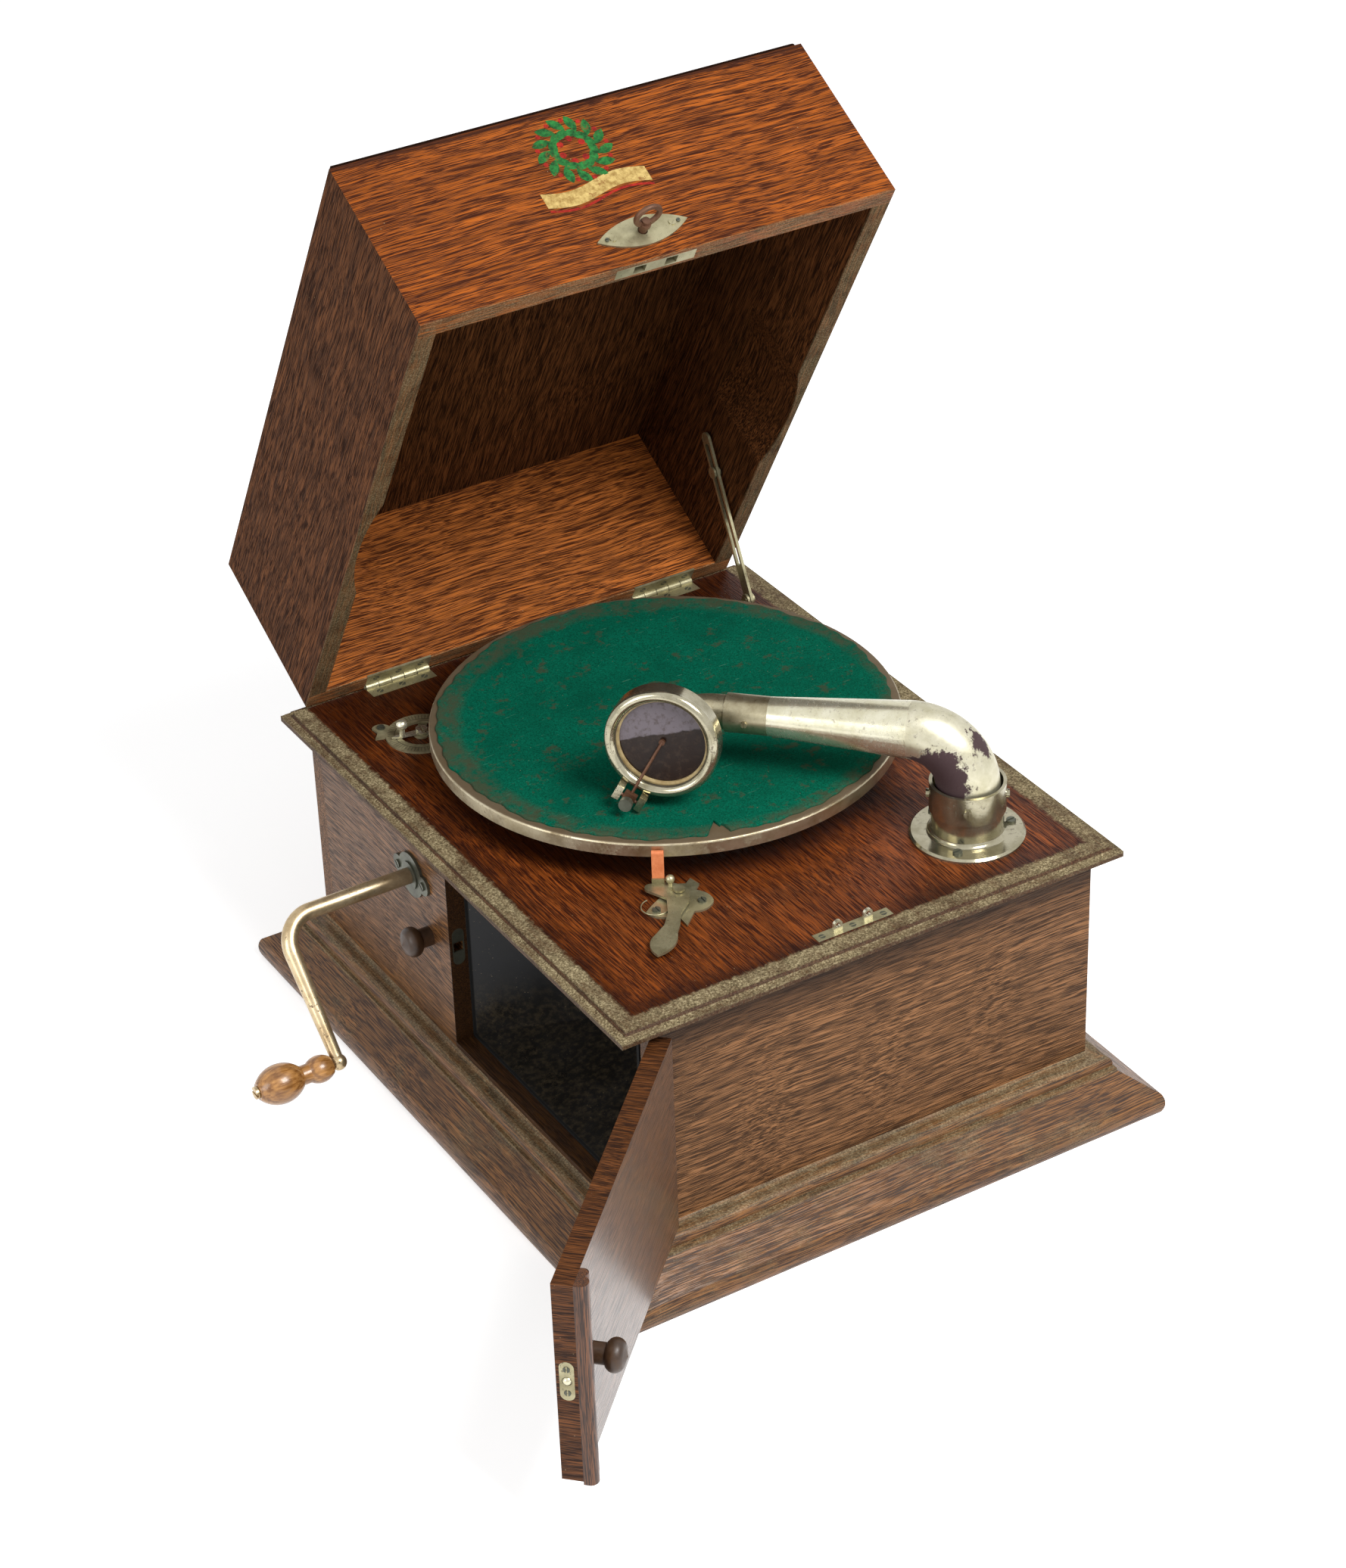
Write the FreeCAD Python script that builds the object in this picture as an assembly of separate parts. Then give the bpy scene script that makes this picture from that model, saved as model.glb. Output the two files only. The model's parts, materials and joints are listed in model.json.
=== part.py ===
import FreeCAD, Part
import os
import math

os.makedirs("parts", exist_ok=True)
V = FreeCAD.Vector
X = V(1, 0, 0)
Y = V(0, 1, 0)
Z = V(0, 0, 1)

# Cabinet sizes in millimetres, origin under the middle of the base, front towards -Y
cabinet_width = 278.5
cabinet_depth = 344.0
cabinet_height = 162.0
wall = 10.5
base_thick = 12.0
plinth_reach = 31.25
plinth_height = 34.65
deck_thick = 6.0
deck_overhang = 11.75

# Lid sizes
lid_height = 104.2
lid_wall = 10.5
lid_side_inset = 2.05
lid_front_inset = 2.5
lid_back_inset = 4.45
lid_open = 60.0

# Door sizes
door_width = 191.0
door_sill = 3.65
door_head = 6.1
door_open = 135.0

# Turntable sizes
turntable_x = 3.5
turntable_post_room = 51.27
turntable_back_room = 17.5
turntable_lift = 17.0
rim_height = 7.7
felt_thick = 1.5
spindle_radius = 3.6

# Tonearm and soundbox sizes
post_from_right = 46.85
post_from_front = 45.0
arm_clear = 3.0
arm_angle = 135.4
elbow_bend = 30.3
elbow_radius = 17.0
tube_wall = 1.2
tube_end = 103.9
tube_end_radius = 10.3
sleeve_length = 22.9
neck_reach = 24.8
head_angle = 5.3
soundbox_radius = 30.1

# Crank sizes
crank_share = 0.2464
crank_below_deck = 35.6
crank_reach = 80.0
crank_radius = 4.5
crank_inside = 17.0
crank_drop_y = 49.65
crank_drop_z = 62.9

# Clearances, gaps and the overrun of cuts
run_fit = 0.06
move_gap = 0.4
overrun = 2.0

# Sizes that follow from the ones above
half_w = cabinet_width / 2
half_d = cabinet_depth / 2
deck_bottom = cabinet_height
deck_top = deck_bottom + deck_thick
deck_half_x = half_w + deck_overhang
deck_half_y = half_d + deck_overhang
lid_bottom = deck_top + move_gap
lid_top_z = lid_bottom + lid_height
lid_half = half_w - lid_side_inset
lid_back = deck_half_y - lid_back_inset
lid_front_y = lid_front_inset - half_d
door_bottom = plinth_height + door_sill
door_top = deck_bottom - door_head
door_middle = (door_bottom + door_top) / 2
jamb_y = door_width - half_d + move_gap
crank_y = jamb_y + (half_d - jamb_y) * crank_share
crank_z = deck_bottom - crank_below_deck
post_x = half_w - post_from_right
post_y = post_from_front - half_d
post = V(post_x, post_y, deck_top)
turntable_bottom = deck_top + turntable_lift
felt_top = turntable_bottom + rim_height + felt_thick
arm_height = felt_top + arm_clear + soundbox_radius
neck_radius = tube_end_radius - tube_wall
head_reach = tube_end + sleeve_length + neck_reach


# Turntable radius: from its room at the back to its room before the tonearm post
def turntable_fit():
    across = post_x - turntable_x
    along = half_d - turntable_back_room - post_y
    room = turntable_post_room
    return (along * along + across * across - room * room) / (2 * (along + room))


turntable_radius = turntable_fit()
turntable_y = half_d - turntable_back_room - turntable_radius
table_axis = V(turntable_x, turntable_y, 0)


# Shared shape helpers
def save(name, shape):
    shape.exportStep("parts/" + name + ".step")


def box(x0, x1, y0, y1, z0, z1):
    return Part.makeBox(x1 - x0, y1 - y0, z1 - z0, V(x0, y0, z0))


def rod(radius, start, end):
    way = end - start
    return Part.makeCylinder(radius, way.Length, start, way)


def face_on(origin, u_way, v_way, outline):
    # a point marked via is the middle of an arc between its two neighbours
    spots = [origin + u_way * p[0] + v_way * p[1] for p in outline]
    spots.append(spots[0])
    marks = [len(p) > 2 for p in outline] + [False]
    edges = []
    k = 0
    while k < len(outline):
        if marks[k + 1]:
            edges.append(Part.Arc(spots[k], spots[k + 1], spots[k + 2]).toShape())
            k += 2
        else:
            edges.append(Part.LineSegment(spots[k], spots[k + 1]).toShape())
            k += 1
    return Part.Face(Part.Wire(edges))


def turned(outline, base, axis, side):
    return face_on(base, side, axis, outline).revolve(base, axis, 360)


def prism(outline, origin, u_way, v_way, depth):
    return face_on(origin, u_way, v_way, outline).extrude(depth)


def ring_wire(radius, centre, normal):
    return Part.Wire(Part.makeCircle(radius, centre, normal))


def facing(degrees):
    angle = math.radians(degrees)
    return V(math.cos(angle), math.sin(angle), 0)


def polar(radius, degrees):
    return facing(degrees) * radius


def fuse(shapes):
    return shapes[0].multiFuse(shapes[1:]).removeSplitter()


def cheese_head(radius, height, at, axis, slot_way):
    # a slotted screw head
    slot_share = 0.22
    slot = radius * slot_share
    side = axis.cross(slot_way)
    outline = [(-slot, height / 2), (slot, height / 2), (slot, height + overrun), (-slot, height + overrun)]
    cut = prism(outline, at - slot_way * (radius + overrun), side, axis, slot_way * 2 * (radius + overrun))
    return rod(radius, at, at + axis * height).cut(cut)


# Base board and the four mitred plinth mouldings
def make_base():
    save("base_board", box(-half_w, half_w, -half_d, half_d, 0, base_thick))


def plinth_outline():
    shares = [(0, 0), (0.95, 0), (1.0, 0.18, "via"), (0.945, 0.345), (0.395, 0.71), (0.395, 0.75),
              (0.335, 0.75), (0.335, 0.79), (0.285, 0.93, "via"), (0.16, 0.955), (0.135, 0.955),
              (0.05, 0.965, "via"), (0, 1)]
    return [(s[0] * plinth_reach, s[1] * plinth_height) + s[2:] for s in shares]


def plinth_side(half_length, half_across, turn):
    start = V(-half_length - plinth_reach, -half_across, 0)
    whole = prism(plinth_outline(), start, -Y, Z, X * 2 * (half_length + plinth_reach))
    reach = plinth_reach + overrun
    plan = [(-half_length, -half_across), (half_length, -half_across),
            (half_length + reach, -half_across - reach), (-half_length - reach, -half_across - reach)]
    side = whole.common(prism(plan, -Z * overrun, X, Y, Z * (plinth_height + 2 * overrun)))
    side.rotate(V(0, 0, 0), Z, turn)
    return side


def make_plinth():
    sides = [plinth_side(half_w, half_d, 0), plinth_side(half_w, half_d, 180)]
    sides += [plinth_side(half_d, half_w, 90), plinth_side(half_d, half_w, 270)]
    save("plinth_mouldings", Part.makeCompound(sides))


# Door hinge places shared by the door and the front panel
door_hinge_length = 32.0
door_hinge_apart = 9.6
door_knuckle = 2.4
door_leaf = 1.0
door_leaf_width = 8.5
door_pin = 1.0
door_pin_proud = 1.0
door_pin_x = -half_w + wall + move_gap / 2
door_pin_y = -half_d - door_pin_proud
door_hinge_starts = [door_middle - door_hinge_apart / 2 - door_hinge_length,
                     door_middle + door_hinge_apart / 2]


def door_knuckle_cut(z0):
    spot = V(door_pin_x, door_pin_y, z0 - move_gap)
    return rod(door_knuckle + move_gap, spot, spot + Z * (door_hinge_length + 2 * move_gap))


# Four cabinet walls, the door sill and the head rail
def make_walls():
    x0 = door_pin_x + move_gap / 2
    front = box(x0, half_w, -half_d, -half_d + wall, base_thick, deck_bottom)
    for z0 in door_hinge_starts:
        front = front.cut(door_knuckle_cut(z0))
        front = front.cut(box(x0, x0 + door_leaf, -half_d, -half_d + door_leaf_width,
                              z0, z0 + door_hinge_length))
    save("front_panel", front)
    save("back_panel", box(-half_w, half_w, half_d - wall, half_d, base_thick, deck_bottom))
    save("right_panel", box(half_w - wall, half_w, -half_d + wall, half_d - wall, base_thick, deck_bottom))
    left = box(-half_w, -half_w + wall, jamb_y, half_d - wall, base_thick, deck_bottom)
    left = left.cut(crank_hole()).cut(strike_pocket())
    sill = box(-half_w, -half_w + wall, -half_d, jamb_y, base_thick, door_bottom - move_gap)
    head = box(-half_w, -half_w + wall, -half_d, jamb_y, door_top + move_gap, deck_bottom)
    save("left_panel", Part.makeCompound([left, sill, head]))


def crank_hole():
    hole_spare = 1.5
    start = V(-half_w - overrun, crank_y, crank_z)
    return rod(crank_radius + hole_spare, start, start + X * (wall + 2 * overrun))


# Strike plate in the jamb, facing the closed door
catch_rise = 1.7
strike_z = door_middle + catch_rise
strike_half = 11.5
strike_wide = 3.6
strike_thick = 0.8
strike_hole = 2.9


def oval(half_long, half_wide):
    return [(-half_wide, -half_long + half_wide), (0, -half_long, "via"), (half_wide, -half_long + half_wide),
            (half_wide, half_long - half_wide), (0, half_long, "via"), (-half_wide, half_long - half_wide)]


def strike_pocket():
    hole_depth_share = 0.6
    spot = V(-half_w + wall / 2, jamb_y, strike_z)
    plate = prism(oval(strike_half, strike_wide), spot, X, Z, Y * strike_thick)
    depth = wall * hole_depth_share
    hole = box(spot.x - strike_hole, spot.x + strike_hole, jamb_y, jamb_y + depth,
               strike_z - strike_hole, strike_z + strike_hole)
    return plate.fuse(hole)


def make_strike():
    spot = V(-half_w + wall / 2, jamb_y, strike_z)
    plate = prism(oval(strike_half, strike_wide), spot, X, Z, Y * strike_thick)
    hole = box(spot.x - strike_hole, spot.x + strike_hole, jamb_y - overrun, jamb_y + overrun,
               strike_z - strike_hole, strike_z + strike_hole)
    save("strike_plate", plate.cut(hole))


# Lid hinge places shared by the deck and the lid
lid_hinge_length = 40.0
lid_hinge_left_in = 56.5
lid_hinge_right_in = 44.9
lid_hinge_xs = [lid_hinge_left_in - lid_half, lid_half - lid_hinge_right_in]
lid_knuckle = 2.6
lid_leaf = 1.2
lid_leaf_width = 11.0
lid_pin = 1.1
hinge_y = lid_back
hinge_z = deck_top + move_gap / 2


def lid_knuckle_cut(x_mid):
    spot = V(x_mid - lid_hinge_length / 2 - move_gap, hinge_y, hinge_z)
    return rod(lid_knuckle + move_gap, spot, spot + X * (lid_hinge_length + 2 * move_gap))


def lid_leaf_box(x_mid, z0):
    half = lid_hinge_length / 2
    return box(x_mid - half, x_mid + half, hinge_y - lid_leaf_width, hinge_y, z0, z0 + lid_leaf)


# Deck board with a coved edge all round and its openings
throat_step = 2.5
spindle_hole = 7.0
speed_from_left = 41.65
speed_from_back = 61.0
speed_stem = 2.0
throat_hole = elbow_radius - throat_step
speed_x = speed_from_left - half_w
speed_y = lid_back - speed_from_back


def deck_prism(half, length):
    edge_share = 0.55
    cove = 5.25
    cove_mid_share = 0.72
    step = 0.9
    edge_z = deck_bottom + deck_thick * edge_share
    cove_z = deck_top - step
    mid_z = edge_z + (cove_z - edge_z) * (1 - cove_mid_share)
    mid = half - cove * cove_mid_share
    inner = half - cove
    outline = [(-half, deck_bottom), (half, deck_bottom), (half, edge_z), (mid, mid_z, "via"),
               (inner, cove_z), (inner, deck_top), (-inner, deck_top), (-inner, cove_z),
               (-mid, mid_z, "via"), (-half, edge_z)]
    return prism(outline, -Y * length, X, Z, Y * 2 * length)


def make_deck():
    across = deck_prism(deck_half_y, deck_half_x)
    across.rotate(V(0, 0, 0), Z, 90)
    deck = deck_prism(deck_half_x, deck_half_y).common(across)
    low = Z * (deck_bottom - overrun)
    high = Z * (deck_top + overrun)
    holes = [(throat_hole, V(post_x, post_y, 0)), (spindle_hole, table_axis),
             (speed_stem + move_gap, V(speed_x, speed_y, 0))]
    for radius, spot in holes:
        deck = deck.cut(rod(radius, spot + low, spot + high))
    for x_mid in lid_hinge_xs:
        deck = deck.cut(lid_knuckle_cut(x_mid)).cut(lid_leaf_box(x_mid, deck_top - lid_leaf))
    save("motor_board", deck.cut(catch_bed()))


# Horn: a tapering sheet-metal duct from the door opening to the throat under the tonearm
horn_sheet = 1.2
horn_lip = 7.0
horn_margin = 1.0
throat_out = 40.4
throat_below_deck = 62.0
throat_half = 20.0
throat_bend = 30.0
throat_radius = 17.5
throat_x = post_x - throat_out
throat_z = deck_bottom - throat_below_deck


def horn_rect(x, grow, y0, y1, z0, z1):
    spots = [V(x, y0 - grow, z0 - grow), V(x, y1 + grow, z0 - grow),
             V(x, y1 + grow, z1 + grow), V(x, y0 - grow, z1 + grow)]
    return Part.makePolygon(spots + spots[:1])


def make_horn():
    mouth_x = -half_w + wall
    y0 = -half_d + wall + horn_sheet + 2 * horn_margin
    y1 = jamb_y - horn_margin
    z0 = door_bottom + horn_margin
    z1 = door_top - horn_margin
    small = (post_y - throat_half, post_y + throat_half, throat_z - throat_half, throat_z + throat_half)
    outer = Part.makeLoft([horn_rect(mouth_x, horn_sheet, y0, y1, z0, z1),
                           horn_rect(throat_x, horn_sheet, *small)], True, True)
    inner = Part.makeLoft([horn_rect(mouth_x, 0, y0, y1, z0, z1),
                           horn_rect(throat_x - horn_sheet, 0, *small)], True, True)
    flange = box(mouth_x, mouth_x + horn_sheet, y0 - horn_sheet - horn_margin, y1 + horn_lip,
                 z0 - horn_lip, deck_bottom - horn_margin)
    hole_start = V(throat_x - overrun, post_y, throat_z)
    hole = rod(throat_radius - horn_sheet, hole_start, hole_start + X * 2 * overrun)
    save("horn", outer.fuse(flange).cut(inner).cut(hole).removeSplitter())


def bent_path(points, radius):
    # three points joined by two straights and one quarter bend
    first = (points[1] - points[0]).normalize()
    last = (points[2] - points[1]).normalize()
    a = points[1] - first * radius
    b = points[1] + last * radius
    middle = a + last * radius
    mid = middle + (points[1] - middle).normalize() * radius
    return Part.Wire([Part.LineSegment(points[0], a).toShape(), Part.Arc(a, mid, b).toShape(),
                      Part.LineSegment(b, points[2]).toShape()])


def make_throat():
    points = [V(throat_x, post_y, throat_z), V(post_x, post_y, throat_z), V(post_x, post_y, deck_bottom)]
    path = bent_path(points, throat_bend)
    outer = path.makePipeShell([ring_wire(throat_radius, points[0], X)], True, False)
    inner = path.makePipeShell([ring_wire(throat_radius - horn_sheet, points[0], X)], True, False)
    save("throat_elbow", outer.cut(inner))


# Fittings on the left side: crank escutcheon and the fixed knob
knob_drop = 2.1
knob_z = door_middle - knob_drop


def make_escutcheon():
    disc = 13.0
    thick = 1.6
    ear = 5.6
    ear_out = 13.6
    boss = 8.0
    boss_high = 2.6
    screw = 2.4
    screw_high = 1.0
    spot = V(-half_w, crank_y, crank_z)
    plate = rod(disc, spot, spot - X * thick).fuse(rod(boss, spot, spot - X * boss_high))
    for side in (-1, 1):
        at = spot + Y * side * ear_out
        plate = plate.fuse(rod(ear, at, at - X * thick))
        plate = plate.fuse(cheese_head(screw, thick + screw_high, at, -X, (Y + Z).normalize()))
    hole = rod(crank_radius + run_fit, spot + X * overrun, spot - X * (boss_high + overrun))
    save("crank_escutcheon", plate.cut(hole).removeSplitter())


def knob(base, axis, side):
    neck = 5.4
    neck_long = 6.5
    head = 8.4
    length = 17.0
    outline = [(0, 0), (neck, 0), (neck, neck_long), (head, (length + neck_long) / 2, "via"),
               (neck, length - neck_long / 4), (0, length)]
    return turned(outline, base, axis, side)


def make_side_knob():
    from_jamb = 22.6
    save("side_knob", knob(V(-half_w, jamb_y + from_jamb, knob_z), -X, Y))


# Lid hinges: leaves with alternating knuckles, and the pins
def lid_hinge(x_mid, z0, odd):
    knuckle_count = 5
    step = lid_hinge_length / knuckle_count
    leaf = lid_leaf_box(x_mid, z0)
    own = []
    for k in range(knuckle_count):
        x0 = x_mid - lid_hinge_length / 2 + k * step
        barrel = rod(lid_knuckle, V(x0, hinge_y, hinge_z), V(x0 + step, hinge_y, hinge_z))
        if k % 2 == odd:
            own.append(barrel)
        else:
            clear = rod(lid_knuckle + move_gap, V(x0 - move_gap, hinge_y, hinge_z),
                        V(x0 + step + move_gap, hinge_y, hinge_z))
            leaf = leaf.cut(clear)
    trimmed = []
    for barrel in own:
        middle = barrel.CenterOfMass
        half = step / 2 - move_gap / 2
        trimmed.append(rod(lid_knuckle, middle - X * half, middle + X * half))
    whole = fuse([leaf] + trimmed)
    bore = rod(lid_pin + run_fit, V(x_mid - lid_hinge_length, hinge_y, hinge_z),
               V(x_mid + lid_hinge_length, hinge_y, hinge_z))
    return whole.cut(bore)


def make_lid_hinges():
    lower = []
    upper = []
    for x_mid in lid_hinge_xs:
        half = X * (lid_hinge_length / 2)
        spot = V(x_mid, hinge_y, hinge_z)
        lower += [lid_hinge(x_mid, deck_top - lid_leaf, 0), rod(lid_pin, spot - half, spot + half)]
        upper.append(lid_hinge(x_mid, lid_bottom, 1))
    save("lid_hinge_lower", Part.makeCompound(lower))
    save_lid("lid_hinge_upper", Part.makeCompound(upper))


def save_lid(name, shape):
    # the lid is drawn shut and swung open about its hinge pins
    shape.rotate(V(0, hinge_y, hinge_z), X, -lid_open)
    save(name, shape)


# Door hinges: leaves with three knuckles each, and the pins
def door_hinge(z0, inward, odd):
    knuckle_count = 3
    step = door_hinge_length / knuckle_count
    face = door_pin_x + inward * move_gap / 2
    back = face + inward * door_leaf
    leaf = box(min(face, back), max(face, back), -half_d, -half_d + door_leaf_width,
               z0, z0 + door_hinge_length)
    own = []
    for k in range(knuckle_count):
        low = V(door_pin_x, door_pin_y, z0 + k * step)
        if k % 2 == odd:
            own.append(rod(door_knuckle, low + Z * (move_gap / 2), low + Z * (step - move_gap / 2)))
        else:
            leaf = leaf.cut(rod(door_knuckle + move_gap, low - Z * move_gap, low + Z * (step + move_gap)))
    spot = V(door_pin_x, door_pin_y, z0)
    bore = rod(door_pin + run_fit, spot - Z * overrun, spot + Z * (door_hinge_length + overrun))
    return fuse([leaf] + own).cut(bore)


def make_door_hinges():
    fixed = []
    moving = []
    for z0 in door_hinge_starts:
        spot = V(door_pin_x, door_pin_y, z0)
        fixed += [door_hinge(z0, 1, 0), rod(door_pin, spot, spot + Z * door_hinge_length)]
        moving.append(door_hinge(z0, -1, 1))
    save("door_hinge_fixed", Part.makeCompound(fixed))
    save_door("door_hinge_moving", Part.makeCompound(moving))


def save_door(name, shape):
    # the door is drawn shut and swung open about its hinge pins
    shape.rotate(V(door_pin_x, door_pin_y, 0), Z, door_open)
    save(name, shape)


# Door leaf with its astragal strip, knob and bullet catch
catch_ball = 2.4
catch_proud = 1.4


def make_door():
    slab = box(-half_w, -half_w + wall, -half_d, -half_d + door_width, door_bottom, door_top)
    inner_x = -half_w + wall
    for z0 in door_hinge_starts:
        slab = slab.cut(door_knuckle_cut(z0))
        slab = slab.cut(box(inner_x - door_leaf, inner_x, -half_d, -half_d + door_leaf_width,
                            z0, z0 + door_hinge_length))
    save_door("door_panel", slab.cut(catch_pocket()))
    save_door("door_astragal", astragal())
    knob_in = 26.4
    save_door("door_knob", knob(V(-half_w, door_width - half_d - knob_in, knob_z), -X, Y))


def astragal():
    wide = 13.5
    big = 8.0
    proud = 6.6
    low_proud = 4.8
    valley = 3.0
    extra = 2.0
    edge = door_width - half_d
    outline = [(0, 0), (valley, 0), (proud, -big / 2, "via"), (valley, -big),
               (low_proud, -(big + wide) / 2, "via"), (valley / 2, -wide), (0, -wide)]
    low = V(-half_w, edge, door_bottom - extra)
    return prism(outline, low, -X, Y, Z * (door_top - low.z))


def catch_pocket():
    spot = V(-half_w + wall / 2, door_width - half_d, strike_z)
    plate = prism(oval(strike_half, strike_wide), spot, X, Z, -Y * strike_thick)
    depth = catch_ball * 4
    return plate.fuse(rod(catch_ball + move_gap, spot, spot - Y * depth))


def make_catch():
    lip = 0.6
    spot = V(-half_w + wall / 2, door_width - half_d, strike_z)
    plate = prism(oval(strike_half, strike_wide), spot, X, Z, -Y * strike_thick)
    hole = rod(catch_ball + run_fit, spot + Y * overrun, spot - Y * overrun)
    screw = 1.5
    screw_out_share = 0.62
    screw_high = 0.25
    plate = plate.cut(hole)
    for side in (-1, 1):
        at = spot + Z * side * strike_half * screw_out_share
        plate = plate.fuse(cheese_head(screw, screw_high, at - Y * screw_high / 2, Y, X))
    save_door("catch_plate", plate)
    centre = spot + Y * (catch_proud - catch_ball)
    ball = Part.makeSphere(catch_ball, centre)
    stem = rod(catch_ball - lip, centre - Y * (catch_ball + catch_proud), centre)
    save_door("catch_ball", ball.fuse(stem))


# Lid boards, drawn shut: four walls scooped clear of the turntable, and a top set on them
lid_top_lip = 3.8
lid_top_tongue = 4.0
lid_top_inset = 2.2
lid_wall_top = lid_top_z - lid_top_lip
scoop_gap = 3.0
scoop_high = 52.0


def scooped(board):
    for side in (-1, 1):
        spot = V(side * turntable_x, turntable_y, lid_bottom - overrun)
        board = board.cut(rod(turntable_radius + scoop_gap, spot, spot + Z * (scoop_high + overrun)))
    return board


def make_lid():
    y_in0 = lid_front_y + lid_wall
    y_in1 = lid_back - lid_wall
    left = scooped(box(-lid_half, -lid_half + lid_wall, y_in0, y_in1, lid_bottom, lid_wall_top))
    right = scooped(box(lid_half - lid_wall, lid_half, y_in0, y_in1, lid_bottom, lid_wall_top))
    save_lid("lid_sides", Part.makeCompound([left, right]))
    back = box(-lid_half, lid_half, y_in1, lid_back, lid_bottom, lid_wall_top)
    for x_mid in lid_hinge_xs:
        back = back.cut(lid_knuckle_cut(x_mid)).cut(lid_leaf_box(x_mid, lid_bottom))
    save_lid("lid_back", back)
    front = box(-lid_half, lid_half, lid_front_y, y_in0, lid_bottom, lid_wall_top)
    save_lid("lid_front", front.cut(lock_block(0)).cut(key_bore()))
    inset = lid_top_inset
    top = box(-lid_half + inset, lid_half - inset, lid_front_y + inset, lid_back - inset,
              lid_wall_top, lid_top_z)
    edges = [e for e in top.Edges if min(v.Z for v in e.Vertexes) > lid_wall_top]
    top = top.makeFillet(lid_top_lip / 2, edges)
    tongue = box(-lid_half + lid_wall, lid_half - lid_wall, y_in0, y_in1,
                 lid_wall_top - lid_top_tongue, lid_wall_top)
    save_lid("lid_top", top.fuse(tongue).removeSplitter())


# Lid lock: case with its lower plate, outer escutcheon and the key
lock_x = -4.0
lock_half = 23.0
lock_high = 27.0
lock_deep = 7.0
key_rise = 17.1
key_z = lid_bottom + key_rise
key_radius = 2.2
staple_xs = [-9.2, 9.0]
staple_wide = 2.6
staple_high = 6.5
lock_y = lid_front_y + (lid_wall + lock_deep) / 2


def lock_block(spare):
    return box(lock_x - lock_half - spare, lock_x + lock_half + spare, lock_y - lock_deep, lock_y,
               lid_bottom - spare, lid_bottom + lock_high + spare)


def key_bore():
    spot = V(lock_x, lid_front_y - overrun, key_z)
    return rod(key_radius + move_gap, spot, spot + Y * lid_wall)


def make_lock():
    case = lock_block(0)
    for x in staple_xs:
        half = staple_wide + 2 * move_gap
        mid_y = lock_y - lock_deep / 2
        case = case.cut(box(lock_x + x - half, lock_x + x + half, mid_y - staple_wide, mid_y + staple_wide,
                            lid_bottom - overrun, deck_top + staple_high + overrun))
    save_lid("lock_case", case.cut(key_bore()))
    long = 26.0
    high = 8.8
    thick = 1.2
    screw = 2.0
    screw_high = 0.6
    screw_out = 17.0
    spot = V(lock_x, lid_front_y, key_z)
    outline = [(-long, 0), (-long / 2, high * 3 / 4, "via"), (0, high), (long / 2, high * 3 / 4, "via"),
               (long, 0), (long / 2, -high * 3 / 4, "via"), (0, -high), (-long / 2, -high * 3 / 4, "via")]
    plate = prism(outline, spot, X, Z, -Y * thick).cut(key_bore())
    for side in (-1, 1):
        at = spot + X * side * screw_out
        plate = plate.fuse(cheese_head(screw, thick + screw_high, at, -Y, (X + Z).normalize()))
    save_lid("lock_escutcheon", plate)


def make_key():
    stem_out = 9.0
    collar = 3.1
    collar_long = 2.0
    bow_long = 5.6
    bow_wide = 8.0
    bow_wire = 1.5
    tail = 5.0
    spot = V(lock_x, lid_front_y, key_z)
    end = spot - Y * stem_out
    stem = rod(key_radius, spot + Y * tail, end)
    band = rod(collar, end + Y * collar_long * 2, end + Y * collar_long)
    middle = end - Y * (bow_long - bow_wire / 2)
    bow = Part.makeTorus(bow_wide - bow_wire, bow_wire, middle + Y * (bow_wide - bow_long) / 2, Z)
    flat = box(middle.x - 2 * bow_wide, middle.x + 2 * bow_wide, middle.y - 2 * bow_wide,
               middle.y + 2 * bow_wide, key_z - bow_wire * 2 / 3, key_z + bow_wire * 2 / 3)
    save_lid("lid_key", fuse([stem, band, bow.common(flat)]))


# Catch plate let into the deck, with two staples that enter the lock
catch_half = 22.5
catch_wide = 3.4
catch_thick = 0.9


def catch_bed():
    mid_y = lock_y - lock_deep / 2
    return box(lock_x - catch_half, lock_x + catch_half, mid_y - catch_wide, mid_y + catch_wide,
               deck_top - catch_thick, deck_top)


def make_lid_catch():
    eye = 1.4
    staple_thick = 1.6
    mid_y = lock_y - lock_deep / 2
    parts = [catch_bed()]
    for x in staple_xs:
        at = V(lock_x + x, mid_y - staple_thick / 2, deck_top - catch_thick)
        high = staple_high + catch_thick
        outline = [(-staple_wide, 0), (staple_wide, 0), (staple_wide, high - staple_wide),
                   (0, high, "via"), (-staple_wide, high - staple_wide)]
        staple = prism(outline, at, X, Z, Y * staple_thick)
        hole = at + Z * (high - staple_wide)
        parts.append(staple.cut(rod(eye, hole - Y * overrun, hole + Y * 2 * overrun)))
    save("lid_catch", fuse(parts))


# Lid stay: a slotted bar on a deck bracket, and the stud that slides in its slot
stay_from_wall = 2.8
stay_pivot_in = 45.4
stay_pivot_rise = 5.6
stay_top_in = 3.5
stay_top_rise = 90.5
stay_thick = 1.6
stay_half = 3.8
stay_slot = 2.0
stay_slot_from_share = 0.23
stay_slot_to_share = 0.95
stud_share = 0.793
stay_pin = 1.6
stay_x = lid_half - lid_wall - stay_from_wall
stay_pivot_y = lid_back - stay_pivot_in
stay_pivot_z = deck_top + stay_pivot_rise
stay_foot = V(stay_x, stay_pivot_y, stay_pivot_z)
stay_span = V(stay_x, lid_back - stay_top_in, deck_top + stay_top_rise) - stay_foot
stay_way = V(stay_span.x, stay_span.y, stay_span.z).normalize()


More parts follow.
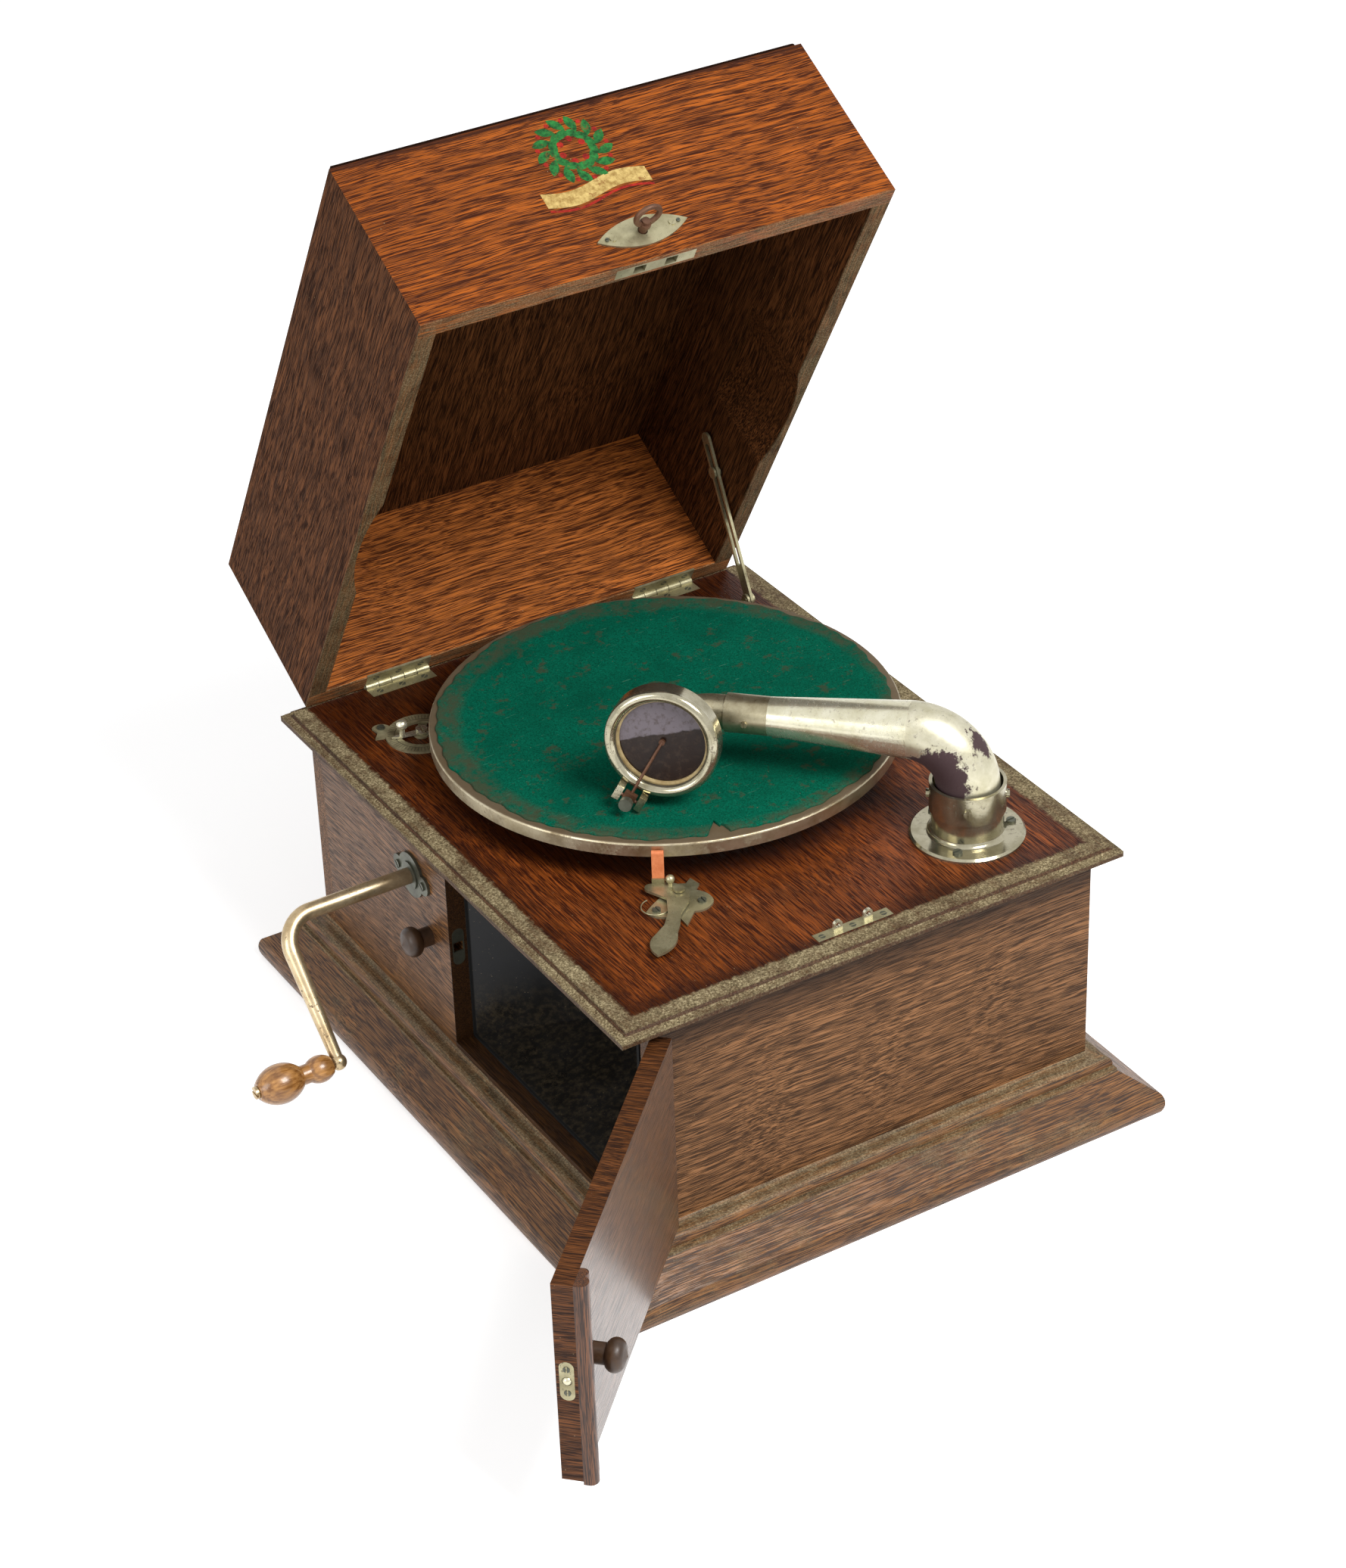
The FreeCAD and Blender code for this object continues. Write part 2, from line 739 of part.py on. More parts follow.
def stay_bar(start, end, half, thick):
    side = X.cross(stay_way)
    reach = (end - start).Length
    outline = [(0, half), (-half, 0, "via"), (0, -half),
               (reach, -half), (reach + half, 0, "via"), (reach, half)]
    return prism(outline, start - X * (thick / 2), stay_way, side, X * thick)


def make_stay():
    bar = stay_bar(stay_foot, stay_foot + stay_span, stay_half, stay_thick)
    slot = stay_bar(stay_foot + stay_span * stay_slot_from_share, stay_foot + stay_span * stay_slot_to_share,
                    stay_slot, stay_thick + 2 * overrun)
    hole = rod(stay_pin + run_fit, stay_foot - X * overrun, stay_foot + X * overrun)
    save("lid_stay", bar.cut(slot).cut(hole))
    stud = stay_foot + stay_span * stud_share
    head = 3.4
    head_thick = 1.2
    wall_x = lid_half - lid_wall - move_gap
    inner = stay_x - stay_thick / 2 - move_gap
    outer = stay_x + stay_thick / 2 + move_gap
    shank = rod(stay_slot - move_gap, V(inner, stud.y, stud.z), V(wall_x, stud.y, stud.z))
    cap = rod(head, V(inner - head_thick, stud.y, stud.z), V(inner, stud.y, stud.z))
    collar = rod(head - stay_slot / 2, V(outer, stud.y, stud.z), V(wall_x, stud.y, stud.z))
    save("stay_stud", fuse([shank, cap, collar]))


bracket_thick = 1.4


def make_stay_bracket():
    half = 7.0
    thick = bracket_thick
    foot_wide = 13.0
    head = 3.0
    head_thick = 1.1
    ear_x = stay_x - stay_thick / 2 - move_gap
    ear = [(-half, 0), (half, 0), (half / 2, stay_pivot_rise),
           (0, stay_pivot_rise + half / 2, "via"), (-half / 2, stay_pivot_rise)]
    upright = prism(ear, V(ear_x - thick, stay_pivot_y, deck_top), Y, Z, X * thick)
    foot = box(ear_x - foot_wide, ear_x, stay_pivot_y - half, stay_pivot_y + half, deck_top, deck_top + thick)
    pin = rod(stay_pin, stay_foot - X * (thick + stay_thick), stay_foot + X * (stay_thick / 2 + move_gap))
    far = stay_foot + X * (stay_thick / 2 + move_gap)
    cap = rod(head, far, far + X * head_thick)
    save("stay_bracket", fuse([upright, foot, pin, cap]))


# Crank: bent rod with its handle pin, and the turned handle that spins on it
handle_start = 3.6
handle_length = 43.5
handle_pin = 2.2
ball_lean = 4.0


def make_crank():
    bend = 18.0
    tip_radius = 3.3
    ball = 4.5
    screw_head = 3.4
    screw_high = 1.6
    arm_x = -half_w - crank_reach
    corner = V(arm_x, crank_y, crank_z)
    tip = V(arm_x + ball_lean, crank_y - crank_drop_y, crank_z - crank_drop_z)
    start = V(-half_w + crank_inside, crank_y, crank_z)
    way = (tip - corner).normalize()
    a = corner + X * bend
    b = corner + way * bend
    half_angle = math.acos(X.dot(way)) / 2
    radius = bend * math.tan(half_angle)
    arc_mid = corner + (X + way).normalize() * (radius / math.sin(half_angle) - radius)
    bow = Part.Arc(a, arc_mid, b).toShape()
    elbow = Part.Wire(bow).makePipeShell([ring_wire(crank_radius, a, X)], True, False)
    shank = rod(crank_radius, a, start)
    arm = Part.makeCone(crank_radius, tip_radius, (tip - b).Length, b, way)
    end = tip - X * (handle_start + handle_length)
    pin = rod(handle_pin, tip, end - X * move_gap)
    cap = cheese_head(screw_head, screw_high, end - X * move_gap, -X, Y)
    save("crank_arm", fuse([shank, elbow, arm, Part.makeSphere(ball, tip), pin, cap]))


def make_handle():
    tip = V(-half_w - crank_reach + ball_lean, crank_y - crank_drop_y, crank_z - crank_drop_z)
    base = tip - X * handle_start
    ball_clear = 4.9
    bulge = 7.3
    waist = 5.3
    bulb = 10.8
    end = 4.6
    inner = handle_pin + run_fit
    spots_share = [0.04, 0.02, 0.14, 0.32, 0.42, 0.73]
    h = [handle_length * share for share in spots_share]
    outline = [(inner, h[0]), (ball_clear, h[1]), (bulge, h[2], "via"), (waist, h[3]), (waist, h[4]),
               (bulb, h[5], "via"), (end, handle_length), (inner, handle_length)]
    save("crank_handle", turned(outline, base, -X, Y))


# Toothed wheels with straight-sided teeth and generous backlash
def gear_spots(teeth, root, tip, phase):
    root_share = 0.23
    tip_share = 0.09
    pitch = 360.0 / teeth
    spots = []
    for k in range(teeth):
        middle = phase + k * pitch
        spots += [polar(root, middle - root_share * pitch), polar(tip, middle - tip_share * pitch),
                  polar(tip, middle + tip_share * pitch), polar(root, middle + root_share * pitch)]
    return spots


def gear(teeth, module, centre, z0, z1, phase):
    add_share = 0.8
    ded_share = 1.1
    pitch_radius = teeth * module / 2
    spots = gear_spots(teeth, pitch_radius - ded_share * module, pitch_radius + add_share * module, phase)
    spots = [s + V(centre.x, centre.y, z0) for s in spots]
    return Part.Face(Part.makePolygon(spots + spots[:1])).extrude(Z * (z1 - z0))


def bevel(spots, apex, axis, side, depth):
    # teeth that taper towards the crossing point of the two shafts
    small_share = 0.7
    other = axis.cross(side)
    wires = []
    for k in (1, small_share):
        ends = [apex - axis * depth * k + side * s.x * k + other * s.y * k for s in spots]
        wires.append(Part.makePolygon(ends + ends[:1]))
    return Part.makeLoft(wires, True, True)


# Spring motor: places of its shafts and its gear counts
barrel_left = 58.5
barrel_radius = 40.0
barrel_long = 30.0
barrel_teeth = 72
second_pinion_teeth = 18
first_module = 1.25
second_teeth = 64
spindle_teeth = 16
second_module = 1.0
arbor_radius = 4.0
second_radius = 3.0
shaft_radius = 4.2
plate_thick = 3.0
plate_below_deck = 16.0
plate_apart = 90.0
barrel_lift = 8.0
gear_thick = 4.0
worm_wheel = 22.0
worm = 4.8
governor_radius = 2.0
governor_drop = 21.0
governor_front = 23.5
governor_back = 62.5
plate_high = deck_bottom - plate_below_deck
plate_low = plate_high - plate_apart
barrel_z0 = plate_low + barrel_lift
barrel_z1 = barrel_z0 + barrel_long
barrel_axis = V(turntable_x - barrel_left, crank_y, 0)
governor_x = turntable_x + worm_wheel + worm + move_gap
governor_z = plate_high - governor_drop
governor_y0 = turntable_y - governor_front
governor_y1 = turntable_y + governor_back


def second_axis():
    # the second shaft meshes with the barrel and with the spindle
    d1 = (barrel_teeth + second_pinion_teeth) * first_module / 2
    d2 = (second_teeth + spindle_teeth) * second_module / 2
    span = table_axis - barrel_axis
    along = (d1 * d1 - d2 * d2 + span.Length * span.Length) / (2 * span.Length)
    off = math.sqrt(d1 * d1 - along * along)
    way = V(span.x, span.y, 0).normalize()
    return barrel_axis + way * along + Z.cross(way) * off


def bearing(start, end):
    way = end - start
    return math.degrees(math.atan2(way.y, way.x))


def make_spindle():
    low = table_axis + Z * (plate_low - plate_thick)
    shoulder = table_axis + Z * felt_top
    seat = shoulder + Z * move_gap
    straight = 5.5
    taper = 3.0
    taper_share = 0.45
    second = second_axis()
    half_pitch = 180.0 / spindle_teeth
    stem = rod(shaft_radius, low, shoulder)
    cone = Part.makeCone(shaft_radius, spindle_radius, move_gap, shoulder)
    pin = rod(spindle_radius, seat, seat + Z * straight)
    point = Part.makeCone(spindle_radius, spindle_radius * taper_share, taper, seat + Z * straight)
    pinion = gear(spindle_teeth, second_module, table_axis, barrel_z1 + 2 * gear_thick,
                  barrel_z1 + 4 * gear_thick, bearing(table_axis, second) + half_pitch)
    wheel = rod(worm_wheel, table_axis + Z * (governor_z - gear_thick),
                table_axis + Z * (governor_z + gear_thick))
    save("spindle", fuse([stem, cone, pin, point, pinion, wheel]))


def make_barrel():
    second = second_axis()
    drum = rod(barrel_radius, barrel_axis + Z * barrel_z0, barrel_axis + Z * barrel_z1)
    teeth = gear(barrel_teeth, first_module, barrel_axis, barrel_z1, barrel_z1 + gear_thick,
                 bearing(barrel_axis, second))
    hole = rod(arbor_radius + run_fit, barrel_axis, barrel_axis + Z * plate_high)
    save("spring_barrel", drum.fuse(teeth).cut(hole).removeSplitter())


# Winding pair: a wheel on the barrel arbor and a pinion on the crank shaft
winding_pinion_teeth = 12
winding_wheel_teeth = 24
winding_module = 2.0
winding_shaft = 4.0


def make_arbor():
    root = 21.0
    tip = 26.5
    wheel_hub = 20.0
    depth = winding_pinion_teeth * winding_module / 2
    apex = barrel_axis + Z * crank_z
    wheel = bevel(gear_spots(winding_wheel_teeth, root, tip, 0), apex, Z, -X, depth)
    low = crank_z - depth
    hub = rod(wheel_hub, barrel_axis + Z * (low - gear_thick), barrel_axis + Z * low)
    stem = rod(arbor_radius, barrel_axis + Z * (plate_low - plate_thick),
               barrel_axis + Z * (plate_high + plate_thick))
    save("barrel_arbor", fuse([stem, hub, wheel]))


def make_winding_pinion():
    root = 9.6
    tip = 13.2
    socket_wall = 3.0
    socket_long = 12.0
    lap = 4.0
    depth = winding_wheel_teeth * winding_module / 2
    apex = barrel_axis + Z * crank_z
    half_pitch = 180.0 / winding_pinion_teeth
    pinion = bevel(gear_spots(winding_pinion_teeth, root, tip, half_pitch), apex, X, -Z, depth)
    start = V(crank_inside - half_w - lap, crank_y, crank_z)
    sleeve = rod(crank_radius + socket_wall, start, start + X * socket_long)
    sleeve = sleeve.cut(rod(crank_radius, start, start + X * lap))
    stem = rod(winding_shaft, start + X * socket_long, apex - X * (depth - lap))
    save("winding_pinion", fuse([sleeve, stem, pinion]))


def make_second():
    second = second_axis()
    half_pitch = 180.0 / second_pinion_teeth
    stem = rod(second_radius, second + Z * (plate_low - plate_thick),
               second + Z * (plate_high + plate_thick))
    pinion = gear(second_pinion_teeth, first_module, second, barrel_z1 - gear_thick / 2,
                  barrel_z1 + 2 * gear_thick, bearing(second, barrel_axis) + half_pitch)
    wheel = gear(second_teeth, second_module, second, barrel_z1 + 5 * gear_thick / 2,
                 barrel_z1 + 7 * gear_thick / 2, bearing(second, table_axis))
    save("second_wheel", fuse([stem, pinion, wheel]))


def make_governor():
    collar = 5.0
    ball = 5.0
    ball_out = 10.5
    worm_half = 9.0
    collar_from_wheel = 20.5
    collar_apart = 26.0
    collar_long = 5.0
    disc = 14.0
    disc_thick = 2.0
    strip = 0.9
    ball_count = 3
    collar_y0 = turntable_y + collar_from_wheel
    collar_y1 = collar_y0 + collar_apart
    axis = V(governor_x, 0, governor_z)
    pieces = [rod(governor_radius, axis + Y * governor_y0, axis + Y * governor_y1)]
    pieces.append(rod(worm, axis + Y * (turntable_y - worm_half), axis + Y * (turntable_y + worm_half)))
    for y0 in (collar_y0, collar_y1):
        pieces.append(rod(collar, axis + Y * y0, axis + Y * (y0 + collar_long)))
    disc_y = collar_y1 + collar_long
    pieces.append(rod(disc, axis + Y * disc_y, axis + Y * (disc_y + disc_thick)))
    middle = (collar_y0 + collar_y1 + collar_long) / 2
    for k in range(ball_count):
        out = facing(360.0 / ball_count * k)
        way = X * out.x + Z * out.y
        weight = axis + Y * middle + way * ball_out
        pieces.append(Part.makeSphere(ball, weight))
        for y0 in (collar_y0, collar_y1):
            foot = axis + Y * (y0 + collar_long / 2) + way * (collar - strip)
            pieces.append(rod(strip, foot, weight))
    save("governor", fuse(pieces))


def plate_outline():
    left_out = 49.0
    right_out = 44.5
    front_left = 37.0
    front_right = 31.5
    back_left = 52.0
    back_left_in = 19.0
    back_right = 77.5
    left = barrel_axis.x - left_out
    right = turntable_x + right_out
    return [(left, crank_y - front_left), (right, turntable_y - front_right),
            (right, turntable_y + back_right), (left + back_left_in, crank_y + back_left)]


def make_motor_frame():
    pillar = 3.5
    bush = 3.0
    margin = 7.0
    block = 6.0
    hanger_gap = 4.0
    second = second_axis()
    shafts = [(table_axis, shaft_radius), (barrel_axis, arbor_radius), (second, second_radius)]
    low = prism(plate_outline(), Z * (plate_low - plate_thick), X, Y, Z * plate_thick)
    high = prism(plate_outline(), Z * plate_high, X, Y, Z * plate_thick)
    inward = [(1, 1), (-1, 1), (-1, -1), (1, -1)]
    for (px, py), (sx, sy) in zip(plate_outline(), inward):
        spot = V(px + sx * margin, py + sy * margin, 0)
        low = low.fuse(rod(pillar, spot + Z * plate_low, spot + Z * plate_high))
        high = high.fuse(rod(pillar, spot + Z * (plate_high + plate_thick), spot + Z * deck_bottom))
    for y in (governor_y0, governor_y1):
        high = high.fuse(box(governor_x - block, governor_x + block, y - bush, y + bush,
                             governor_z - block, plate_high))
        at = V(governor_x, y - 2 * bush, governor_z)
        high = high.cut(rod(governor_radius + run_fit, at, at + Y * 4 * bush))
    hanger_x = barrel_axis.x - winding_wheel_teeth * winding_module / 2 - hanger_gap - block
    high = high.fuse(box(hanger_x, hanger_x + block, crank_y - 2 * block, crank_y + 2 * block,
                         crank_z - 2 * block, plate_high))
    at = V(hanger_x - overrun, crank_y, crank_z)
    high = high.cut(rod(winding_shaft + run_fit, at, at + X * (block + 2 * overrun)))
    for spot, radius in shafts:
        hole = rod(radius + run_fit, spot, spot + Z * deck_top)
        low = low.cut(hole)
        high = high.cut(hole)
    save("motor_lower_plate", low.removeSplitter())
    save("motor_plate", high.removeSplitter())


# Turntable: pressed disc with a turned-down rim, and its felt
def make_turntable():
    sheet = 2.2
    rim = 2.4
    boss = 14.0
    boss_low = 9.0
    edge = 1.2
    top = turntable_bottom + rim_height
    r = turntable_radius
    low = turntable_bottom - boss_low
    outline = [(shaft_radius, low), (boss, low), (boss, top - sheet), (r - rim, top - sheet),
               (r - rim, turntable_bottom), (r, turntable_bottom), (r, top - edge),
               (r - edge / 3, top - edge / 3, "via"), (r - edge, top), (shaft_radius, top)]
    save("turntable", turned(outline, table_axis, Z, X))
    felt_in = 2.0
    hole_gap = 1.0
    disc = rod(r - felt_in, table_axis + Z * top, table_axis + Z * felt_top)
    hole = rod(shaft_radius + hole_gap, table_axis, table_axis + Z * (felt_top + overrun))
    save("turntable_felt", disc.cut(hole))


# Tonearm: fixed base on the deck, turning elbow, tapering tube and end sleeve
arm_way = facing(arm_angle)
elbow_taper = 1.75
base_lip = 1.4
flange_thick = 2.2
elbow_end = elbow_radius - elbow_taper
elbow_low = deck_top + base_lip + move_gap


def make_tonearm_base():
    flange_out = 13.5
    stage_out = 2.1
    stage_high = 16.0
    collar_out = 3.2
    collar_top = 32.3
    collar_gap = 1.4
    cove = 2.6
    bore = elbow_radius + run_fit
    flange = elbow_radius + flange_out
    stage = elbow_radius + stage_out
    collar = elbow_radius + collar_out
    inner = elbow_radius + collar_gap
    outline = [(throat_hole, 0), (flange, 0), (flange, flange_thick / 2),
               (flange - flange_thick / 2, flange_thick), (stage + cove, flange_thick),
               (stage + cove / 3, flange_thick + cove / 3, "via"), (stage, flange_thick + cove),
               (stage, stage_high), (collar, stage_high), (collar, collar_top), (inner, collar_top),
               (inner, stage_high), (bore, stage_high), (bore, base_lip), (throat_hole, base_lip)]
    pieces = [turned(outline, post, Z, X)]
    set_screw = 2.2
    set_high = 1.5
    set_count = 4
    set_angle = 55.0
    for k in range(set_count):
        out = facing(set_angle + 360.0 / set_count * k)
        at = post + Z * ((stage_high + collar_top) / 2) + out * (collar - set_high / 2)
        pieces.append(cheese_head(set_screw, 3 * set_high / 2, at, out, Z))
    save("tonearm_base", fuse(pieces))


def make_tonearm():
    rise = arm_height - elbow_bend
    low = V(post_x, post_y, elbow_low)
    turn = V(post_x, post_y, rise)
    seam = V(post_x, post_y, arm_height) + arm_way * elbow_bend
    middle = turn + arm_way * elbow_bend
    mid = middle + (Z - arm_way).normalize() * elbow_bend
    path = Part.Wire(Part.Arc(turn, mid, seam).toShape())
    solids = []
    for less in (0, tube_wall):
        bend = path.makePipeShell([ring_wire(elbow_radius - less, turn, Z),
                                   ring_wire(elbow_end - less, seam, arm_way)], True, False)
        solids.append(rod(elbow_radius - less, low, turn).fuse(bend))
    save("tonearm_elbow", solids[0].cut(solids[1]))
    length = tube_end - elbow_bend
    outer = Part.makeCone(elbow_end, tube_end_radius, length, seam, arm_way)
    inner = Part.makeCone(elbow_end - tube_wall, tube_end_radius - tube_wall, length, seam, arm_way)
    save("tonearm_tube", outer.cut(inner))
    a = V(post_x, post_y, arm_height) + arm_way * tube_end
    b = a + arm_way * sleeve_length
    screw = 1.7
    screw_high = 1.3
    side = Z.cross(arm_way)
    at = (a + b) / 2 + side * (tube_end_radius - screw_high / 2)
    sleeve = rod(tube_end_radius, a, b).fuse(cheese_head(screw, 3 * screw_high / 2, at, side, Z))
    save("tonearm_sleeve", sleeve.cut(rod(neck_radius + run_fit, a, b)))


# Soundbox, drawn about its own middle: x along the arm, y out of its face, z up
head_way = Z.cross(arm_way) * math.cos(math.radians(head_angle)) + Z * math.sin(math.radians(head_angle))
head_up = arm_way.cross(head_way)
head_spot = V(post_x, post_y, arm_height) + arm_way * head_reach
back_face = 31.5
case_deep = 14.0
case_wall = 5.1
lip_wall = 6.1
disc_deep = 7.5
disc_thick = 0.6
gasket_thick = 1.5
gasket_wide = 2.2
stylus_angle = -62.0
rim_face = back_face + case_deep
cavity = soundbox_radius - case_wall
opening = soundbox_radius - lip_wall
disc_at = back_face + disc_deep
stylus_way = X * math.cos(math.radians(stylus_angle)) + Z * math.sin(math.radians(stylus_angle))
stylus_side = Z * math.cos(math.radians(stylus_angle)) - X * math.sin(math.radians(stylus_angle))

# Pivot of the stylus bar between its two lugs
pivot_out = 3.9
pivot_high = 3.1
pivot_pin = 1.0
lug_half = 1.9
lug_gap = 4.6
stylus_pivot = soundbox_radius + pivot_out
needle_y = rim_face + pivot_high


def save_head(name, shape):
    u = arm_way
    w = head_way
    t = head_up
    o = head_spot
    matrix = FreeCAD.Matrix(u.x, w.x, t.x, o.x, u.y, w.y, t.y, o.y, u.z, w.z, t.z, o.z, 0, 0, 0, 1)
    shape.Placement = FreeCAD.Placement(matrix).multiply(shape.Placement)
    save(name, shape)


def make_soundbox():
    boss = 12.0
    boss_high = 4.0
    back_thick = 2.2
    edge = 1.5
    rim_thick = 4.0
    seat = rim_face - rim_thick
    r = soundbox_radius
    bore = neck_radius - tube_wall
    outline = [(neck_radius, back_face - boss_high), (boss, back_face - boss_high), (boss, back_face),
               (r - edge, back_face), (r, back_face + edge), (r, seat),
               ((r + opening) / 2, rim_face, "via"), (opening, seat), (cavity, seat - edge / 4),
               (cavity, back_face + back_thick), (bore, back_face + back_thick), (bore, back_face),
               (neck_radius, back_face)]
    case = turned(outline, V(0, 0, 0), Y, X)
    lug_in = 5.0
    lug_out = 3.0
    lug_deep = 2.5
    axle_start = stylus_way * stylus_pivot + Y * needle_y - stylus_side * soundbox_radius
    axle = rod(pivot_pin + run_fit, axle_start, axle_start + stylus_side * (2 * soundbox_radius))
    keep = rod(r - edge, V(0, 0, 0), Y * (needle_y + lug_deep))
    for side in (-1, 1):
        at = stylus_side * side * (lug_gap + lug_half) + Y * (seat - lug_deep)
        plan = [(stylus_pivot - lug_in, -lug_half), (stylus_pivot + lug_out, -lug_half),
                (stylus_pivot + lug_out, lug_half), (stylus_pivot - lug_in, lug_half)]
        lug = prism(plan, at, stylus_way, stylus_side, Y * (needle_y - seat + 2 * lug_deep))
        case = case.fuse(lug.cut(keep).cut(axle))
    save_head("soundbox_case", case.removeSplitter())
    rings = []
    for y0 in (disc_at - gasket_thick, disc_at + disc_thick):
        ring = rod(cavity, Y * y0, Y * (y0 + gasket_thick))
        inside = rod(cavity - gasket_wide, Y * (y0 - overrun), Y * (y0 + gasket_thick + overrun))
        rings.append(ring.cut(inside))
    save_head("soundbox_gaskets", Part.makeCompound(rings))
    save_head("diaphragm", rod(cavity, Y * disc_at, Y * (disc_at + disc_thick)))


def make_neck():
    neck_bend = 20.0
    start = V(sleeve_length / 6 + tube_end - head_reach, 0, 0)
    path = bent_path([start, V(0, 0, 0), V(0, back_face, 0)], neck_bend)
    outer = path.makePipeShell([ring_wire(neck_radius, start, X)], True, False)
    inner = path.makePipeShell([ring_wire(neck_radius - tube_wall, start, X)], True, False)
    save_head("gooseneck", outer.cut(inner))


needle_hole = 1.4


def make_stylus():
    wire = 0.8
    hub_gap = 0.5
    hub = 1.6
    holder = 3.4
    holder_deep = 3.0
    dip = 4.0
    at_pivot = stylus_way * stylus_pivot + Y * needle_y
    near = stylus_way * dip + Y * (rim_face - overrun)
    foot = Y * (disc_at + disc_thick + hub_gap)
    bar = rod(wire, at_pivot, near)
    knee = Part.makeSphere(wire, near)
    drop = rod(wire, near, foot + Y * wire)
    pad = rod(hub, foot, foot + Y * 2 * wire)
    plan = [(-holder, -holder), (holder, -holder), (holder, holder), (-holder, holder)]
    body = prism(plan, at_pivot - Y * (holder_deep / 2), stylus_way, stylus_side, Y * holder_deep)
    reach = stylus_side * (lug_gap + lug_half)
    axle = rod(pivot_pin, at_pivot - reach, at_pivot + reach)
    screw_hole = rod(needle_hole + run_fit, at_pivot + Y * pivot_pin, at_pivot + Y * 2 * holder_deep)
    save_head("stylus_bar", fuse([bar, knee, drop, pad, body, axle]).cut(screw_hole))


def make_needle_screw():
    head = 3.5
    head_long = 3.6
    neck_long = 2.2
    face = 1.5
    at = stylus_way * stylus_pivot + Y * (needle_y + pivot_pin + move_gap)
    top = at + Y * (face + neck_long)
    shank = rod(needle_hole, at, top)
    save_head("needle_screw", shank.fuse(rod(head, top, top + Y * head_long)))


# Brake: plate with a bent wire spring, lever with its leather pad
brake_out = 11.65
brake_angle = -118.8
brake_turn = -30.4
brake_size = 20.0
lever_size = 56.0
brake_plate_thick = 1.2
brake_lift = 1.0
brake_thick = 1.5
brake_rivet = 2.0
pad_thick = 3.0
pad_wide = 6.5
pad_above_rim = 5.0
pad_gap = 0.35
pad_angle = -123.3
brake_spot = table_axis + polar(turntable_radius + brake_out, brake_angle) + Z * deck_top
brake_right = facing(brake_turn)
brake_front = brake_right.cross(Z)


def sized(shares, size):
    return [(s[0] * size, s[1] * size) + s[2:] for s in shares]


def brake_place(right_share, front_share):
    return brake_spot + brake_right * (right_share * brake_size) + brake_front * (front_share * brake_size)


def make_brake_plate():
    shares = [(0.875, 0.30), (0.70, 0.625, "via"), (0.375, 0.75), (0.18, 1.375), (-0.075, 0.875),
              (-0.50, 0.975, "via"), (-0.85, 0.725), (-0.65, 0.35, "via"), (-0.45, 0.05),
              (-0.25, -0.40, "via"), (0.175, -0.50), (0.30, -0.75), (0.525, -0.475), (0.425, -0.20),
              (0.70, -0.05, "via")]
    plate = prism(sized(shares, brake_size), brake_spot, brake_right, brake_front, Z * brake_plate_thick)
    rivet_high = brake_plate_thick + brake_lift + brake_thick + move_gap
    cap_share = 1.5
    cap_high = 1.3
    stem = rod(brake_rivet, brake_spot, brake_spot + Z * rivet_high)
    shoulder_high = brake_plate_thick + brake_lift - move_gap / 2
    shoulder = rod(2 * brake_rivet, brake_spot, brake_spot + Z * shoulder_high)
    top = brake_spot + Z * rivet_high
    cap = rod(cap_share * brake_rivet, top, top + Z * cap_high)
    save("brake_plate", fuse([plate, stem, shoulder, cap, brake_spring()]))


def brake_spring():
    loop = 7.4
    wire = 0.35
    sink = 0.1
    open_from = 95.0
    turn = 230.0
    right_share = -0.61
    front_share = 0.525
    centre = brake_place(right_share, front_share) + Z * (brake_plate_thick + wire - sink)
    ends = [centre + polar(loop, open_from + turn * share) for share in (0, 0.5, 1)]
    path = Part.Wire(Part.Arc(*ends).toShape())
    tangent = Z.cross(ends[0] - centre).normalize()
    return path.makePipeShell([ring_wire(wire, ends[0], tangent)], True, False)


def make_brake_lever():
    low = brake_plate_thick + brake_lift
    shares = [(0.098, 0), (0.089, 0.161), (0.009, 0.357), (0, 0.536), (-0.027, 0.661), (-0.071, 0.875, "via"),
              (-0.211, 1.0), (-0.277, 0.839, "via"), (-0.232, 0.696), (-0.143, 0.536), (-0.107, 0.339),
              (-0.116, 0.107), (-0.295, -0.027), (-0.313, -0.080, "via"), (-0.277, -0.125),
              (-0.134, -0.152), (0, -0.107, "via")]
    at = brake_spot + Z * low
    plate = prism(sized(shares, lever_size), at, brake_right, brake_front, Z * brake_thick)
    hole = rod(brake_rivet + run_fit, at - Z * overrun, at + Z * 2 * overrun)
    pad = pad_spot()
    out = facing(pad_angle)
    side = Z.cross(out)
    clip = 1.0
    clip_high = 4.0
    arm = [(-pad_wide / 2, -pad_thick / 2), (pad_wide / 2, -pad_thick / 2),
           (pad_wide / 2, pad_thick / 2 + clip), (-pad_wide / 2, pad_thick / 2 + clip)]
    shelf = prism(arm, V(pad.x, pad.y, deck_top + low), side, out, Z * brake_thick)
    upright = [(-pad_wide / 2, pad_thick / 2), (pad_wide / 2, pad_thick / 2),
               (pad_wide / 2, pad_thick / 2 + clip), (-pad_wide / 2, pad_thick / 2 + clip)]
    back = prism(upright, V(pad.x, pad.y, deck_top + low), side, out, Z * clip_high)
    ball = 2.4
    right_share = -0.22
    front_share = -0.30
    ball_spot = brake_place(right_share, front_share) + Z * low
    ball_top = ball_spot + Z * 2 * ball
    stud = rod(ball / 2, ball_spot, ball_top).fuse(Part.makeSphere(ball, ball_top))
    save("brake_lever", fuse([plate, shelf, back, stud]).cut(hole))


def pad_spot():
    return table_axis + polar(turntable_radius + pad_gap + pad_thick / 2, pad_angle)


